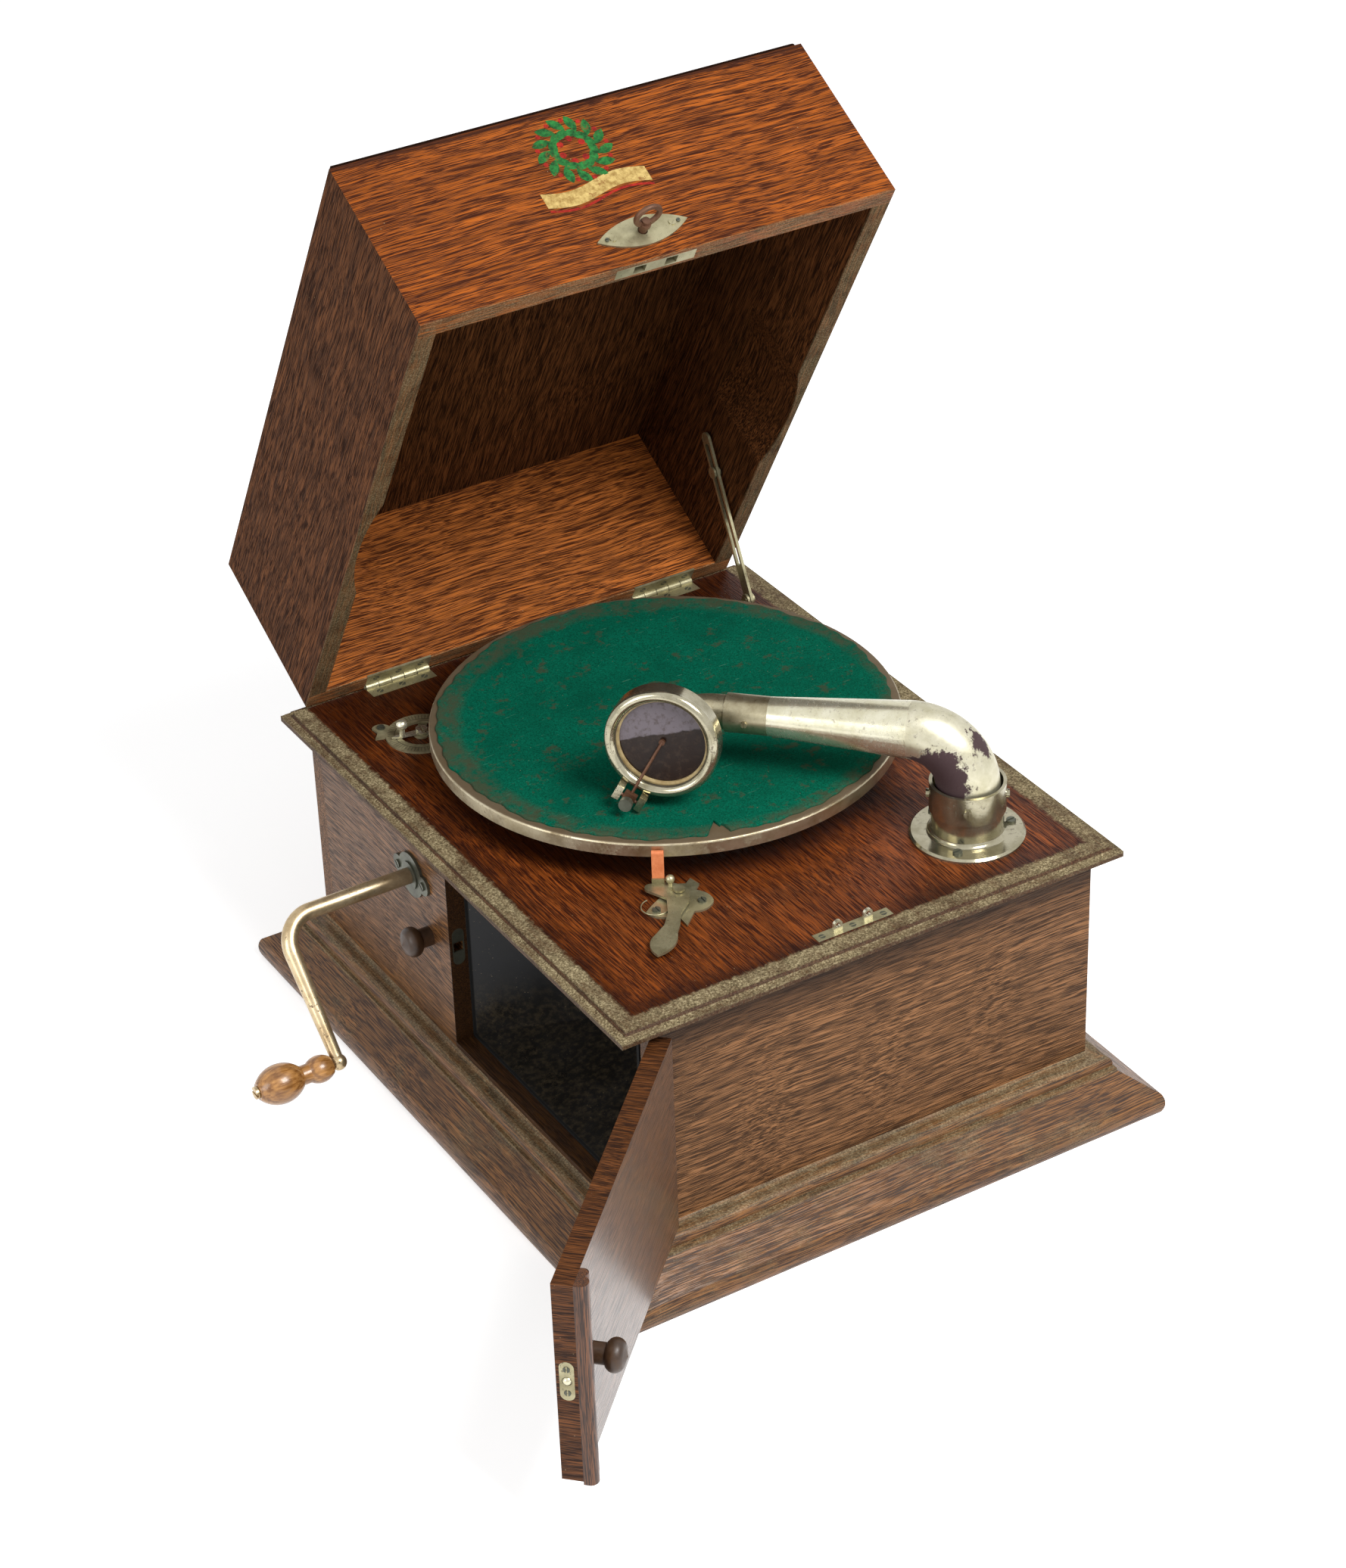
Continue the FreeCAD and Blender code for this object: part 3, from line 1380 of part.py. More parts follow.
def make_brake_pad():
    out = facing(pad_angle)
    low = brake_plate_thick + brake_lift + brake_thick
    plan = [(-pad_wide / 2, -pad_thick / 2), (pad_wide / 2, -pad_thick / 2),
            (pad_wide / 2, pad_thick / 2), (-pad_wide / 2, pad_thick / 2)]
    spot = pad_spot() + Z * (deck_top + low)
    save("brake_pad", prism(plan, spot, Z.cross(out), out, Z * (turntable_lift + pad_above_rim - low)))


# Speed regulator: graduated ring on the deck and its lever with a stem through the board
speed_spot = V(speed_x, speed_y, deck_top)
ring_thick = 1.2
ring_outer = 19.7
ring_inner = 11.8
pointer_size = 17.0


def make_speed_dial():
    ring = rod(ring_outer, speed_spot, speed_spot + Z * ring_thick)
    ring = ring.cut(rod(ring_inner, speed_spot - Z * overrun, speed_spot + Z * overrun))
    lobe_shares = [(-0.914, -0.406), (-1.117, -0.533, "via"), (-1.396, -0.33), (-1.218, -0.102),
                   (-1.269, 0.228), (-0.939, 0.152)]
    plate = prism(sized(lobe_shares, ring_outer), speed_spot, brake_right, brake_front, Z * ring_thick)
    bush = 4.5
    web = 2.4
    arm = [(web - ring_outer, -web), (0, -web), (0, web), (web - ring_outer, web)]
    spoke = prism(arm, speed_spot, brake_front, brake_right, Z * (ring_thick / 2))
    boss = rod(bush, speed_spot, speed_spot + Z * ring_thick)
    whole = fuse([ring, plate, spoke, boss])
    hole = rod(speed_stem + run_fit, speed_spot - Z * overrun, speed_spot + Z * overrun)
    save("speed_dial", whole.cut(hole))


def make_speed_lever():
    thick = 1.1
    at = speed_spot + Z * (ring_thick + move_gap)
    tip_angle = 170.0
    tip_way = facing(tip_angle)
    side = Z.cross(tip_way)
    shares = [(-0.265, -0.147), (-0.353, 0, "via"), (-0.265, 0.147), (0.47, 0.094), (0.824, 0.07),
              (1, 0), (0.824, -0.07), (0.47, -0.094)]
    bar = prism(sized(shares, pointer_size), at, tip_way, side, Z * thick)
    cap = 3.2
    cap_high = 1.8
    head = cheese_head(cap, cap_high, at + Z * thick, Z, side)
    ball = 3.2
    ball_out_share = 0.647
    ball_rise = 7.5
    ball_spot = at + tip_way * (pointer_size * ball_out_share)
    post_rod = rod(ball / 2, ball_spot, ball_spot + Z * ball_rise)
    knob_ball = Part.makeSphere(ball, ball_spot + Z * ball_rise)
    under = 6.5
    arm_long = 20.0
    arm_half = 2.5
    low = V(speed_x, speed_y, deck_bottom - under)
    stem = rod(speed_stem, low, at + Z * thick)
    arm = box(speed_x, speed_x + arm_long, speed_y - arm_half, speed_y + arm_half, low.z, low.z + thick)
    save("speed_lever", fuse([bar, head, post_rod, knob_ball, stem, arm]))


# Screws that hold the deck fittings
def make_deck_screws():
    big = 2.6
    small = 2.2
    high = 1.2
    low_high = 0.7
    flange_at = 24.0
    flange_angle = -137.0
    flange_count = 3
    screws = []
    for k in range(flange_count):
        out = facing(flange_angle + 360.0 / flange_count * k)
        screws.append(cheese_head(big, high, post + Z * flange_thick + out * flange_at, Z, X))
    brake_shares = [(0.58, 0.315), (-0.59, 0.675)]
    for right_share, front_share in brake_shares:
        at = brake_place(right_share, front_share) + Z * brake_plate_thick
        screws.append(cheese_head(small, high, at, Z, Y))
    lobe_share = (-1.137, -0.315)
    lobe = brake_right * (lobe_share[0] * ring_outer) + brake_front * (lobe_share[1] * ring_outer)
    screws.append(cheese_head(small, high, speed_spot + lobe + Z * ring_thick, Z, X))
    bracket_in = 8.0
    bracket_out = 3.5
    for side in (-1, 1):
        at = V(stay_x - bracket_in, stay_pivot_y + side * bracket_out, deck_top + bracket_thick)
        screws.append(cheese_head(small, low_high, at, Z, Y))
    save("deck_screws", Part.makeCompound(screws))


make_base()
make_plinth()
make_walls()
make_strike()
make_deck()
make_horn()
make_throat()
make_escutcheon()
make_side_knob()
make_lid_hinges()
make_door_hinges()
make_door()
make_catch()
make_lid()
make_lock()
make_key()
make_lid_catch()
make_stay()
make_stay_bracket()
make_crank()
make_handle()
make_spindle()
make_barrel()
make_arbor()
make_winding_pinion()
make_second()
make_governor()
make_motor_frame()
make_turntable()
make_tonearm_base()
make_tonearm()
make_soundbox()
make_neck()
make_stylus()
make_needle_screw()
make_brake_plate()
make_brake_lever()
make_brake_pad()
make_speed_dial()
make_speed_lever()
make_deck_screws()
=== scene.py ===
import json
import math

import bmesh
import bpy
from mathutils import Euler, Matrix, Vector


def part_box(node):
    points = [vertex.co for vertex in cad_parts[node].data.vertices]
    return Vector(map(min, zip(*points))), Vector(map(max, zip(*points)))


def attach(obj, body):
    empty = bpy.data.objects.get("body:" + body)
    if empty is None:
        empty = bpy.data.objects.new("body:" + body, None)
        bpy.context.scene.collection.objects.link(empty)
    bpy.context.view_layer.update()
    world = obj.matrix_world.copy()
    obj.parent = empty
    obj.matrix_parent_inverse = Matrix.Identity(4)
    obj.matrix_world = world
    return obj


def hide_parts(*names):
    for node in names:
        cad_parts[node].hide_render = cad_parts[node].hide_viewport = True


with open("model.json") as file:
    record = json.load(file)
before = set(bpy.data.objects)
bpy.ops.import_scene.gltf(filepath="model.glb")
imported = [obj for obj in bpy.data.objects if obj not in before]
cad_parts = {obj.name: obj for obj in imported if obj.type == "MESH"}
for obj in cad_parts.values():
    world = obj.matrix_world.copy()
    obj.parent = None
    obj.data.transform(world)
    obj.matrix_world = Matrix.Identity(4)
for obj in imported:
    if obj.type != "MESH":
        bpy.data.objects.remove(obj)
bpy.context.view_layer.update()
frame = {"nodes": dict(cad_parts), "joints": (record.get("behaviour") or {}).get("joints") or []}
nodes = frame["nodes"]
joints = {joint["name"]: joint for joint in frame["joints"]}
scene = bpy.context.scene

X = Vector((1, 0, 0))
Y = Vector((0, 1, 0))
Z = Vector((0, 0, 1))


def joint_place(name):
    return Vector(joints[name]["pos_m"])


# Angle from the rest pose back to the joint's lower limit, where the lid and the door are shut
def joint_turn(name):
    return math.radians(-joints[name]["range_deg"][0])


def turn_about(place, angle, axis):
    return Matrix.Translation(place) @ Matrix.Rotation(angle, 4, axis) @ Matrix.Translation(-place)


def middle(node):
    low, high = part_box(node)
    return (low + high) / 2


# Box of a node after a turn, such as that of the shut lid
def turned_box(node, turn):
    made = nodes[node]
    places = [turn @ made.matrix_world @ vertex.co for vertex in made.data.vertices]
    return [Vector([pick(place[k] for place in places) for k in range(3)]) for pick in (min, max)]


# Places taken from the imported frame, in metres
deck_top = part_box("motor_board")[1].z
felt_low, felt_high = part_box("turntable_felt")
felt_radius = (felt_high.x - felt_low.x) / 2
table = middle("turntable_felt")
post = middle("tonearm_base")
head = middle("diaphragm")
dial = joint_place("speed_swing")
lid_axis = joint_place("lid_hinge")
lid_turn = joint_turn("lid_hinge")
lid_open = turn_about(lid_axis, -lid_turn, "X")
lid_closed = lid_open.inverted()
lid_low, lid_high = turned_box("lid_front", lid_closed)
lid_half = (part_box("lid_front")[1].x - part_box("lid_front")[0].x) / 2
top_low, top_high = turned_box("lid_top", lid_closed)
door_axis = joint_place("door_hinge")
door_turn = joint_turn("door_hinge")
door_closed = turn_about(door_axis, -door_turn, "Z")
door_open = door_closed.inverted()
door_far = turned_box("door_panel", door_closed)[1].y


# A screen colour as linear light
def tone(red, green, blue):
    return tuple((channel / 255) ** 2.2 for channel in (red, green, blue))


def scaled(colour, factor):
    return tuple(channel * factor for channel in colour)


def grey(level):
    return (level, level, level)


# Small wrapper that builds one node material
class Graph:
    def __init__(self, name):
        self.material = bpy.data.materials.new(name)
        self.material.use_nodes = True
        self.tree = self.material.node_tree
        self.shader = self.tree.nodes["Principled BSDF"]

    def put(self, socket, value):
        if isinstance(value, bpy.types.NodeSocket):
            self.tree.links.new(value, socket)
        elif socket.type == "RGBA" and len(value) == 3:
            socket.default_value = (*value, 1)
        else:
            socket.default_value = value

    def add(self, kind, **values):
        made = self.tree.nodes.new("ShaderNode" + kind)
        for key, value in values.items():
            setattr(made, key, value)
        return made

    def set(self, **values):
        for key, value in values.items():
            self.put(self.shader.inputs[key.replace("_", " ")], value)

    def coord(self):
        return self.add("TexCoord").outputs["Object"]

    def mapping(self, vector, location=(0, 0, 0), rotation=(0, 0, 0), scale=(1, 1, 1)):
        made = self.add("Mapping")
        self.put(made.inputs["Vector"], vector)
        made.inputs["Location"].default_value = location
        made.inputs["Rotation"].default_value = rotation
        made.inputs["Scale"].default_value = scale
        return made.outputs[0]

    def noise(self, vector, scale, detail=4, rough=0.55, output=0):
        made = self.add("TexNoise")
        self.put(made.inputs["Vector"], vector)
        made.inputs["Scale"].default_value = scale
        made.inputs["Detail"].default_value = detail
        made.inputs["Roughness"].default_value = rough
        return made.outputs[output]

    # places pushed about by a smooth noise
    def sway(self, vector, scale, amount):
        made = self.add("VectorMath", operation="MULTIPLY_ADD")
        self.put(made.inputs[0], self.noise(vector, scale, detail=0, output=1))
        made.inputs[1].default_value = grey(amount)
        self.put(made.inputs[2], vector)
        return made.outputs[0]

    def distance(self, vector, place):
        made = self.add("VectorMath", operation="DISTANCE")
        self.put(made.inputs[0], vector)
        made.inputs[1].default_value = place
        return made.outputs["Value"]

    def cells(self, vector, scale):
        made = self.add("TexVoronoi")
        self.put(made.inputs["Vector"], vector)
        made.inputs["Scale"].default_value = scale
        return made.outputs["Distance"]

    def ramp(self, value, *stops):
        made = self.add("ValToRGB")
        self.put(made.inputs[0], value)
        items = made.color_ramp.elements
        while len(items) < len(stops):
            items.new(0.5)
        for item, (place, colour) in zip(items, stops):
            shade = grey(colour) if isinstance(colour, (int, float)) else colour
            item.position = place
            item.color = (*shade, 1)
        return made.outputs[0]

    # nothing at low, full at high
    def rise(self, value, low, high, full=1):
        return self.ramp(value, (low, 0), (high, full))

    # small dots, one to a cell, only where a coarse noise lets them be
    def specks(self, vector, per_metre, size, patch, detail, low, high):
        dots = self.ramp(self.cells(vector, per_metre), (0, 1), (size, 0))
        return self.times(dots, self.rise(self.noise(vector, patch, detail), low, high))

    def math(self, operation, a, b=0.0, clamp=False):
        made = self.add("Math", operation=operation, use_clamp=clamp)
        self.put(made.inputs[0], a)
        self.put(made.inputs[1], b)
        return made.outputs[0]

    def plus(self, a, b):
        return self.math("ADD", a, b)

    def minus(self, a, b):
        return self.math("SUBTRACT", a, b)

    def times(self, a, b):
        return self.math("MULTIPLY", a, b)

    def most(self, a, b):
        return self.math("MAXIMUM", a, b)

    def mix(self, factor, a, b):
        made = self.add("Mix", data_type="RGBA")
        self.put(made.inputs[0], factor)
        self.put(made.inputs[6], a)
        self.put(made.inputs[7], b)
        return made.outputs[2]

    def axes(self, vector):
        made = self.add("SeparateXYZ")
        self.put(made.inputs[0], vector)
        return made.outputs[0], made.outputs[1], made.outputs[2]

    # a smooth step from 0 at low to 1 at high; low may be the larger one
    def between(self, value, low, high):
        made = self.add("MapRange", interpolation_type="SMOOTHSTEP")
        self.put(made.inputs[0], value)
        made.inputs[1].default_value = low
        made.inputs[2].default_value = high
        return made.outputs[0]

    def band(self, value, low, high, soft):
        return self.times(self.between(value, low - soft, low), self.between(value, high + soft, high))

    # distance from an upright line, angle about it, height
    def polar(self, vector, centre):
        x, y, z = self.axes(self.mapping(vector, location=(-centre.x, -centre.y, 0)))
        reach = self.math("SQRT", self.plus(self.times(x, x), self.times(y, y)))
        return reach, self.math("ARCTAN2", y, x), z

    # a noise about zero that makes an outline ragged
    def ragged(self, vector, scale, detail, amount):
        return self.times(self.minus(self.noise(vector, scale, detail, rough=0.7), 0.5), amount)

    def bump(self, height, strength, distance):
        made = self.add("Bump")
        made.inputs["Strength"].default_value = strength
        made.inputs["Distance"].default_value = distance
        self.put(made.inputs["Height"], height)
        self.put(self.shader.inputs["Normal"], made.outputs[0])


# Oak grain, as waves per metre along and across the fibres
PORES = (56, 2000)
RAYS = (11, 620)
NICK_PALE = tone(190, 165, 125)
DUST_TONES = (tone(78, 68, 50), tone(136, 122, 92), tone(198, 182, 144))


# Oak: streaky stain, short dark pores along the grain, pale nicks, dust where it gathers, and darkening by a
# mask that is painted shade on some boards
def oak(name, grain, light, dark, turn=None, shade=None, dust=None, gloss=0.15, sheen=0.0, rough=0.34):
    g = Graph(name)
    flat = g.coord()
    if turn:
        # the pattern lies square to the board as it is when shut
        pivot, angles = turn
        flat = g.mapping(flat, pivot - Euler(angles).to_matrix() @ pivot, angles)
    wavy = g.sway(flat, scale=14, amount=0.005)

    def streaks(waves, detail, rough):
        along, across = waves
        scale = [along if axis == grain else across for axis in "xyz"]
        return g.noise(g.mapping(wavy, scale=scale), 1, detail, rough)

    pore = streaks(PORES, detail=2, rough=0.6)
    ray = streaks(RAYS, detail=4, rough=0.7)
    cloud = g.noise(flat, 10, detail=4, rough=0.6)
    colour = g.ramp(ray, (0.36, scaled(light, 0.40)), (0.52, light), (0.68, scaled(light, 1.45)))
    colour = g.mix(g.rise(cloud, 0.45, 0.75, full=0.45), colour, scaled(light, 0.5))
    dash = g.rise(pore, 0.46, 0.55, full=0.95)
    colour = g.mix(dash, colour, dark)
    # darkening by the mask: painted shade on the deck, the walls and the lid top's edges, grime on the lid's
    # rim, dark cut faces by the door
    if shade:
        colour = g.mix(shade(g, flat), colour, scaled(dark, 0.6))
    nicks = g.specks(flat, per_metre=150, size=0.05, patch=40, detail=2, low=0.52, high=0.56)
    colour = g.mix(nicks, colour, NICK_PALE)
    roughness = g.ramp(pore, (0.45, rough), (0.65, rough + 0.26))
    if dust:
        grit = g.noise(flat, 950, detail=3, rough=0.75)
        powder = g.ramp(grit, *zip((0.36, 0.52, 0.68), DUST_TONES))
        worn = g.ramp(g.noise(flat, 75, detail=4, rough=0.7), (0.32, 0.35), (0.58, 0.95))
        amount = g.times(dust(g, flat), worn)
        colour = g.mix(amount, colour, powder)
        roughness = g.mix(amount, roughness, grey(0.85))
    g.set(Base_Color=colour, Roughness=roughness, Specular_IOR_Level=gloss,
          Coat_Weight=sheen, Coat_Roughness=0.16)
    g.bump(g.minus(1, dash), strength=0.30, distance=0.0004)
    return g.material


# Masks on the boards: each gives a share from 0 to 1 at a place, in metres
def deck_dust(g, flat):
    # dust lies outside the lid's line, thinly on the deck's upright edge, and in specks all over
    fade = 0.0015
    lip_low, lip_high, lip_least = deck_top - 0.0046, deck_top - 0.0030, 0.25
    step_low, step_high, step_soft, step_clear = deck_top - 0.0020, deck_top - 0.0010, 0.0002, 0.8
    x, y, z = g.axes(flat)
    ragged = g.ragged(flat, 220, detail=4, amount=0.007)
    side = g.between(g.plus(g.math("ABSOLUTE", x), ragged), lid_half - fade, lid_half + fade)
    front = g.between(g.minus(ragged, y), -lid_low.y - fade, -lid_low.y + fade)
    back = g.between(g.plus(y, ragged), lid_axis.y - fade, lid_axis.y + fade)
    lip = g.between(z, lip_low, lip_high)
    edge = g.times(g.most(g.most(side, front), back), g.most(lip, lip_least))
    step = g.band(z, step_low, step_high, step_soft)
    specks = g.specks(flat, per_metre=190, size=0.09, patch=30, detail=3, low=0.42, high=0.55)
    return g.most(g.times(edge, g.minus(1, g.times(step, step_clear))), specks)


def deck_painted_shade(g, flat):
    # painted shade in patches: darker near the lid's line, and painted shadow towards the hinges and under
    # the turntable
    side_low, side_high = 0.134, 0.150
    front_low, front_high = 0.164, 0.181
    back_low, back_high = 0.080, 0.170
    under_out, under_in = 0.130, 0.115
    strength = 0.75
    x, y, _ = g.axes(flat)
    wobble = g.times(g.noise(flat, 45, detail=4), 0.024)
    side = g.between(g.plus(g.math("ABSOLUTE", x), wobble), side_low, side_high)
    front = g.between(g.plus(g.times(y, -1), wobble), front_low, front_high)
    back = g.between(g.plus(y, wobble), back_low, back_high)
    under = g.between(g.distance(flat, (table.x, table.y, deck_top)), under_out, under_in)
    return g.times(g.most(g.most(side, front), g.most(back, under)), strength)


def plinth_dust(g, flat):
    # dust in the groove and on top of the moulding, and a thin film in patches
    groove_low, groove_high, groove_soft = 0.0248, 0.0268, 0.0010
    top_start, top_full = 0.0305, 0.0330
    lying, film = 0.55, 0.30
    z = g.axes(flat)[2]
    groove = g.band(z, groove_low, groove_high, groove_soft)
    top = g.between(z, top_start, top_full)
    spread = g.rise(g.noise(flat, 30, detail=5, rough=0.7), 0.50, 0.68, full=film)
    return g.most(g.times(g.most(groove, top), lying), spread)


def lid_dust(g, flat):
    # dust on the lid's lower edge
    out, full, strength = 0.0016, 0.0007, 0.40
    z = g.axes(flat)[2]
    return g.times(g.between(z, deck_top + out, deck_top + full), strength)


def lid_edge_painted_shade(g, flat):
    # painted shade: the top board's edges are painted nearly black
    start, full = 0.0006, 0.0002
    x, y, _ = g.axes(flat)
    side = g.between(g.math("ABSOLUTE", x), top_high.x - start, top_high.x - full)
    front = g.between(g.times(y, -1), -top_low.y - start, -top_low.y - full)
    return g.most(side, front)


def lid_rim(g, flat):
    # grime along the upper edge of the lid's front
    start, full, strength = 0.0025, 0.0005, 0.75
    z = g.axes(flat)[2]
    wobble = g.times(g.noise(flat, 240, detail=4, rough=0.7), 0.003)
    return g.times(g.between(g.plus(z, wobble), lid_high.z - start, lid_high.z - full), strength)


def jamb_shade(g, flat):
    # the left wall's cut faces around the opening are dark
    out, full, strength = 0.0011, 0.0007, 0.7
    y = g.axes(flat)[1]
    return g.times(g.between(y, door_far + out, door_far + full), strength)


def panel_painted_shade(g, flat):
    # painted shade on the walls under the deck's overhang, darkest towards the top
    start, full, strength = 0.126, 0.158, 0.85
    z = g.axes(flat)[2]
    return g.times(g.between(z, start, full), strength)


# Worn plate on metal: tarnish clouds, pits and bare patches
def plated(name, plate, tarnish, bare, rough, pitted, metal=1.0, extra=None):
    g = Graph(name)
    flat = g.coord()
    cloud = g.noise(flat, 70, detail=5, rough=0.65)
    fine = g.noise(flat, 700, detail=4, rough=0.7)
    colour = g.mix(g.rise(cloud, 0.40, 0.70), plate, tarnish)
    pits = g.rise(g.noise(flat, 480, detail=3, rough=0.7), 0.58, 0.68)
    area = g.rise(g.noise(flat, 26, detail=4, rough=0.6), 0.46, 0.62)
    spots = g.times(g.times(pits, area), pitted)
    if extra:
        spots = g.most(spots, extra(g, flat))
    colour = g.mix(spots, colour, bare)
    roughness = g.ramp(g.plus(g.times(fine, 0.5), g.times(spots, 0.6)),
                       (0.15, rough * 0.75), (0.45, rough * 1.3), (0.9, 0.75))
    g.set(Base_Color=colour, Roughness=roughness,
          Metallic=g.math("SUBTRACT", metal, g.times(spots, 0.7), clamp=True))
    g.bump(g.minus(g.times(fine, 0.3), spots), strength=0.12, distance=0.0003)
    return g.material


# Masks on the metal, used as plated's extra
def elbow_bare(g, flat):
    # bare patches low inside the bend and high on its outer side
    inner_place = (post.x - 0.016, post.y + 0.002, deck_top + 0.040)
    outer_place = (post.x + 0.006, post.y - 0.013, deck_top + 0.062)
    inner_out, inner_full = 0.0190, 0.0165
    outer_out, outer_full = 0.0130, 0.0110
    ragged = g.ragged(flat, 130, detail=6, amount=0.030)
    inside = g.between(g.plus(g.distance(flat, inner_place), ragged), inner_out, inner_full)
    outside = g.between(g.plus(g.distance(flat, outer_place), ragged), outer_out, outer_full)
    return g.most(inside, outside)


def crank_grime(g, flat):
    # brown grime where the rod enters the wall
    before, behind, strength = 0.012, 0.008, 0.7
    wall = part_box("left_panel")[0].x
    x = g.plus(g.axes(flat)[0], g.times(g.noise(flat, 160, detail=4, rough=0.7), 0.02))
    return g.times(g.between(x, wall - before, wall + behind), strength)


def rim_rust(g, flat):
    # rust on the bare ring beside the felt, and runs elsewhere
    ring_out, ring_full = felt_radius + 0.0018, felt_radius + 0.0012
    rim_low, rim_high = 0.1915, 0.1922
    ring_rust, run_rust = 0.9, 0.5
    reach, _, z = g.polar(flat, table)
    ring = g.times(g.between(reach, ring_out, ring_full), g.between(z, rim_low, rim_high))
    runs = g.rise(g.noise(flat, 55, detail=5, rough=0.7), 0.52, 0.66)
    return g.most(g.times(ring, ring_rust), g.times(runs, run_rust))


# Green felt with a worn grey band, widest at the back, dark nap, specks and pale lint
def felt_material():
    deep_green, bright_green, dull_green = tone(0, 58, 44), tone(14, 116, 90), tone(4, 70, 54)
    band_grey, blot_grey = tone(70, 76, 58), tone(66, 72, 54)
    speck_pale, lint_pale = tone(165, 165, 130), tone(95, 150, 125)
    back_start, back_full, back_wider, lean = table.y - 0.09, table.y + 0.07, 0.007, -0.5
    band_start, band_full, band_strength = 0.119, 0.127, 0.85
    g = Graph("felt_green")
    flat = g.coord()
    x, y, _ = g.axes(flat)
    reach = g.polar(flat, table)[0]
    wool = g.noise(flat, 1300, detail=4, rough=0.8)
    cloud = g.noise(flat, 26, detail=5, rough=0.6)
    colour = g.mix(g.rise(wool, 0.34, 0.66), deep_green, bright_green)
    colour = g.mix(g.rise(cloud, 0.42, 0.72, full=0.6), colour, dull_green)
    worn = g.rise(g.noise(flat, 85, detail=5, rough=0.75), 0.38, 0.56)
    wide = g.times(g.between(g.plus(y, g.times(x, lean)), back_start, back_full), back_wider)
    worn_reach = g.plus(g.plus(reach, wide), g.times(cloud, 0.012))
    band = g.times(g.between(worn_reach, band_start, band_full), worn)
    colour = g.mix(g.times(band, band_strength), colour, band_grey)
    blot = g.rise(g.noise(flat, 95, detail=5, rough=0.7), 0.57, 0.65, full=0.75)
    colour = g.mix(blot, colour, blot_grey)
    speck = g.specks(flat, per_metre=260, size=0.07, patch=90, detail=2, low=0.50, high=0.54)
    colour = g.mix(speck, colour, speck_pale)
    lint = g.noise(g.mapping(flat, rotation=(0, 0, 0.5), scale=(90, 900, 1)), 1, detail=2)
    colour = g.mix(g.rise(lint, 0.70, 0.74, full=0.35), colour, lint_pale)
    g.set(Base_Color=colour, Roughness=0.95, Specular_IOR_Level=0.05)
    g.bump(wool, strength=0.5, distance=0.0006)
    return g.material


# A cloudy surface of two tones: turned knobs, gaskets, leather
def simple(name, light, dark, scale, rough, bump=0.2, depth=0.0003):
    g = Graph(name)
    flat = g.coord()
    cloud = g.noise(flat, scale, detail=5, rough=0.62)
    fine = g.noise(flat, scale * 8, detail=4, rough=0.65)
    g.set(Base_Color=g.mix(g.rise(cloud, 0.35, 0.68), light, dark),
          Roughness=g.ramp(fine, (0.3, rough - 0.1), (0.7, rough + 0.12)))
    g.bump(fine, bump, depth)
    return g.material


# Black enamel of the horn, with grit and dust on its floor and a dull cut edge at the mouth
def enamel_material():
    black, worn_black, edge_black = tone(10, 11, 13), tone(26, 27, 30), tone(8, 8, 8)
    dust_brown, grit_pale = tone(120, 105, 80), tone(150, 135, 105)
    dust_high, dust_low = 0.085, 0.045
    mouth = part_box("horn")[0].x
    edge_in, edge_full = mouth + 0.0016, mouth + 0.0008
    g = Graph("enamel_black")
    flat = g.coord()
    x, _, z = g.axes(flat)
    cloud = g.noise(flat, 30, detail=5, rough=0.6)
    colour = g.ramp(cloud, (0.35, black), (0.70, worn_black))
    grit = g.specks(flat, per_metre=420, size=0.16, patch=60, detail=3, low=0.50, high=0.62)
    patches = g.ramp(g.noise(flat, 300, detail=4, rough=0.7), (0.45, 0.1), (0.65, 0.7))
    floor_dust = g.times(g.between(z, dust_high, dust_low), patches)
    colour = g.mix(g.times(floor_dust, 0.35), colour, dust_brown)
    colour = g.mix(g.times(grit, 0.8), colour, grit_pale)
    rim = g.between(x, edge_in, edge_full)
    roughness = g.mix(rim, g.ramp(cloud, (0.3, 0.24), (0.7, 0.40)), grey(0.95))
    g.set(Base_Color=g.mix(rim, colour, edge_black), Roughness=roughness, Specular_IOR_Level=0.3)
    g.bump(cloud, strength=0.1, distance=0.0006)
    return g.material


# Turned wood of the handle: rings and lengthwise fibre
def handle_material():
    dark_brown, light_brown, ring_brown = tone(120, 76, 36), tone(196, 142, 82), tone(92, 56, 26)
    heart_place = middle("crank_handle") + Vector((0, 0.03, -0.02))
    rings_per_metre = 1900
    g = Graph("handle_turned")
    flat = g.coord()
    fibre = g.noise(g.mapping(flat, scale=(90, 600, 600)), 1, detail=4, rough=0.6)
    heart = g.distance(g.sway(flat, scale=60, amount=0.004), heart_place)
    rings = g.math("SINE", g.times(heart, rings_per_metre))
    colour = g.ramp(fibre, (0.3, dark_brown), (0.7, light_brown))
    colour = g.mix(g.times(g.between(rings, -0.2, 0.9), 0.40), colour, ring_brown)
    g.set(Base_Color=colour, Roughness=g.ramp(fibre, (0.3, 0.22), (0.8, 0.40)),
          Coat_Weight=0.4, Coat_Roughness=0.15)
    g.bump(fibre, strength=0.2, distance=0.0002)
    return g.material
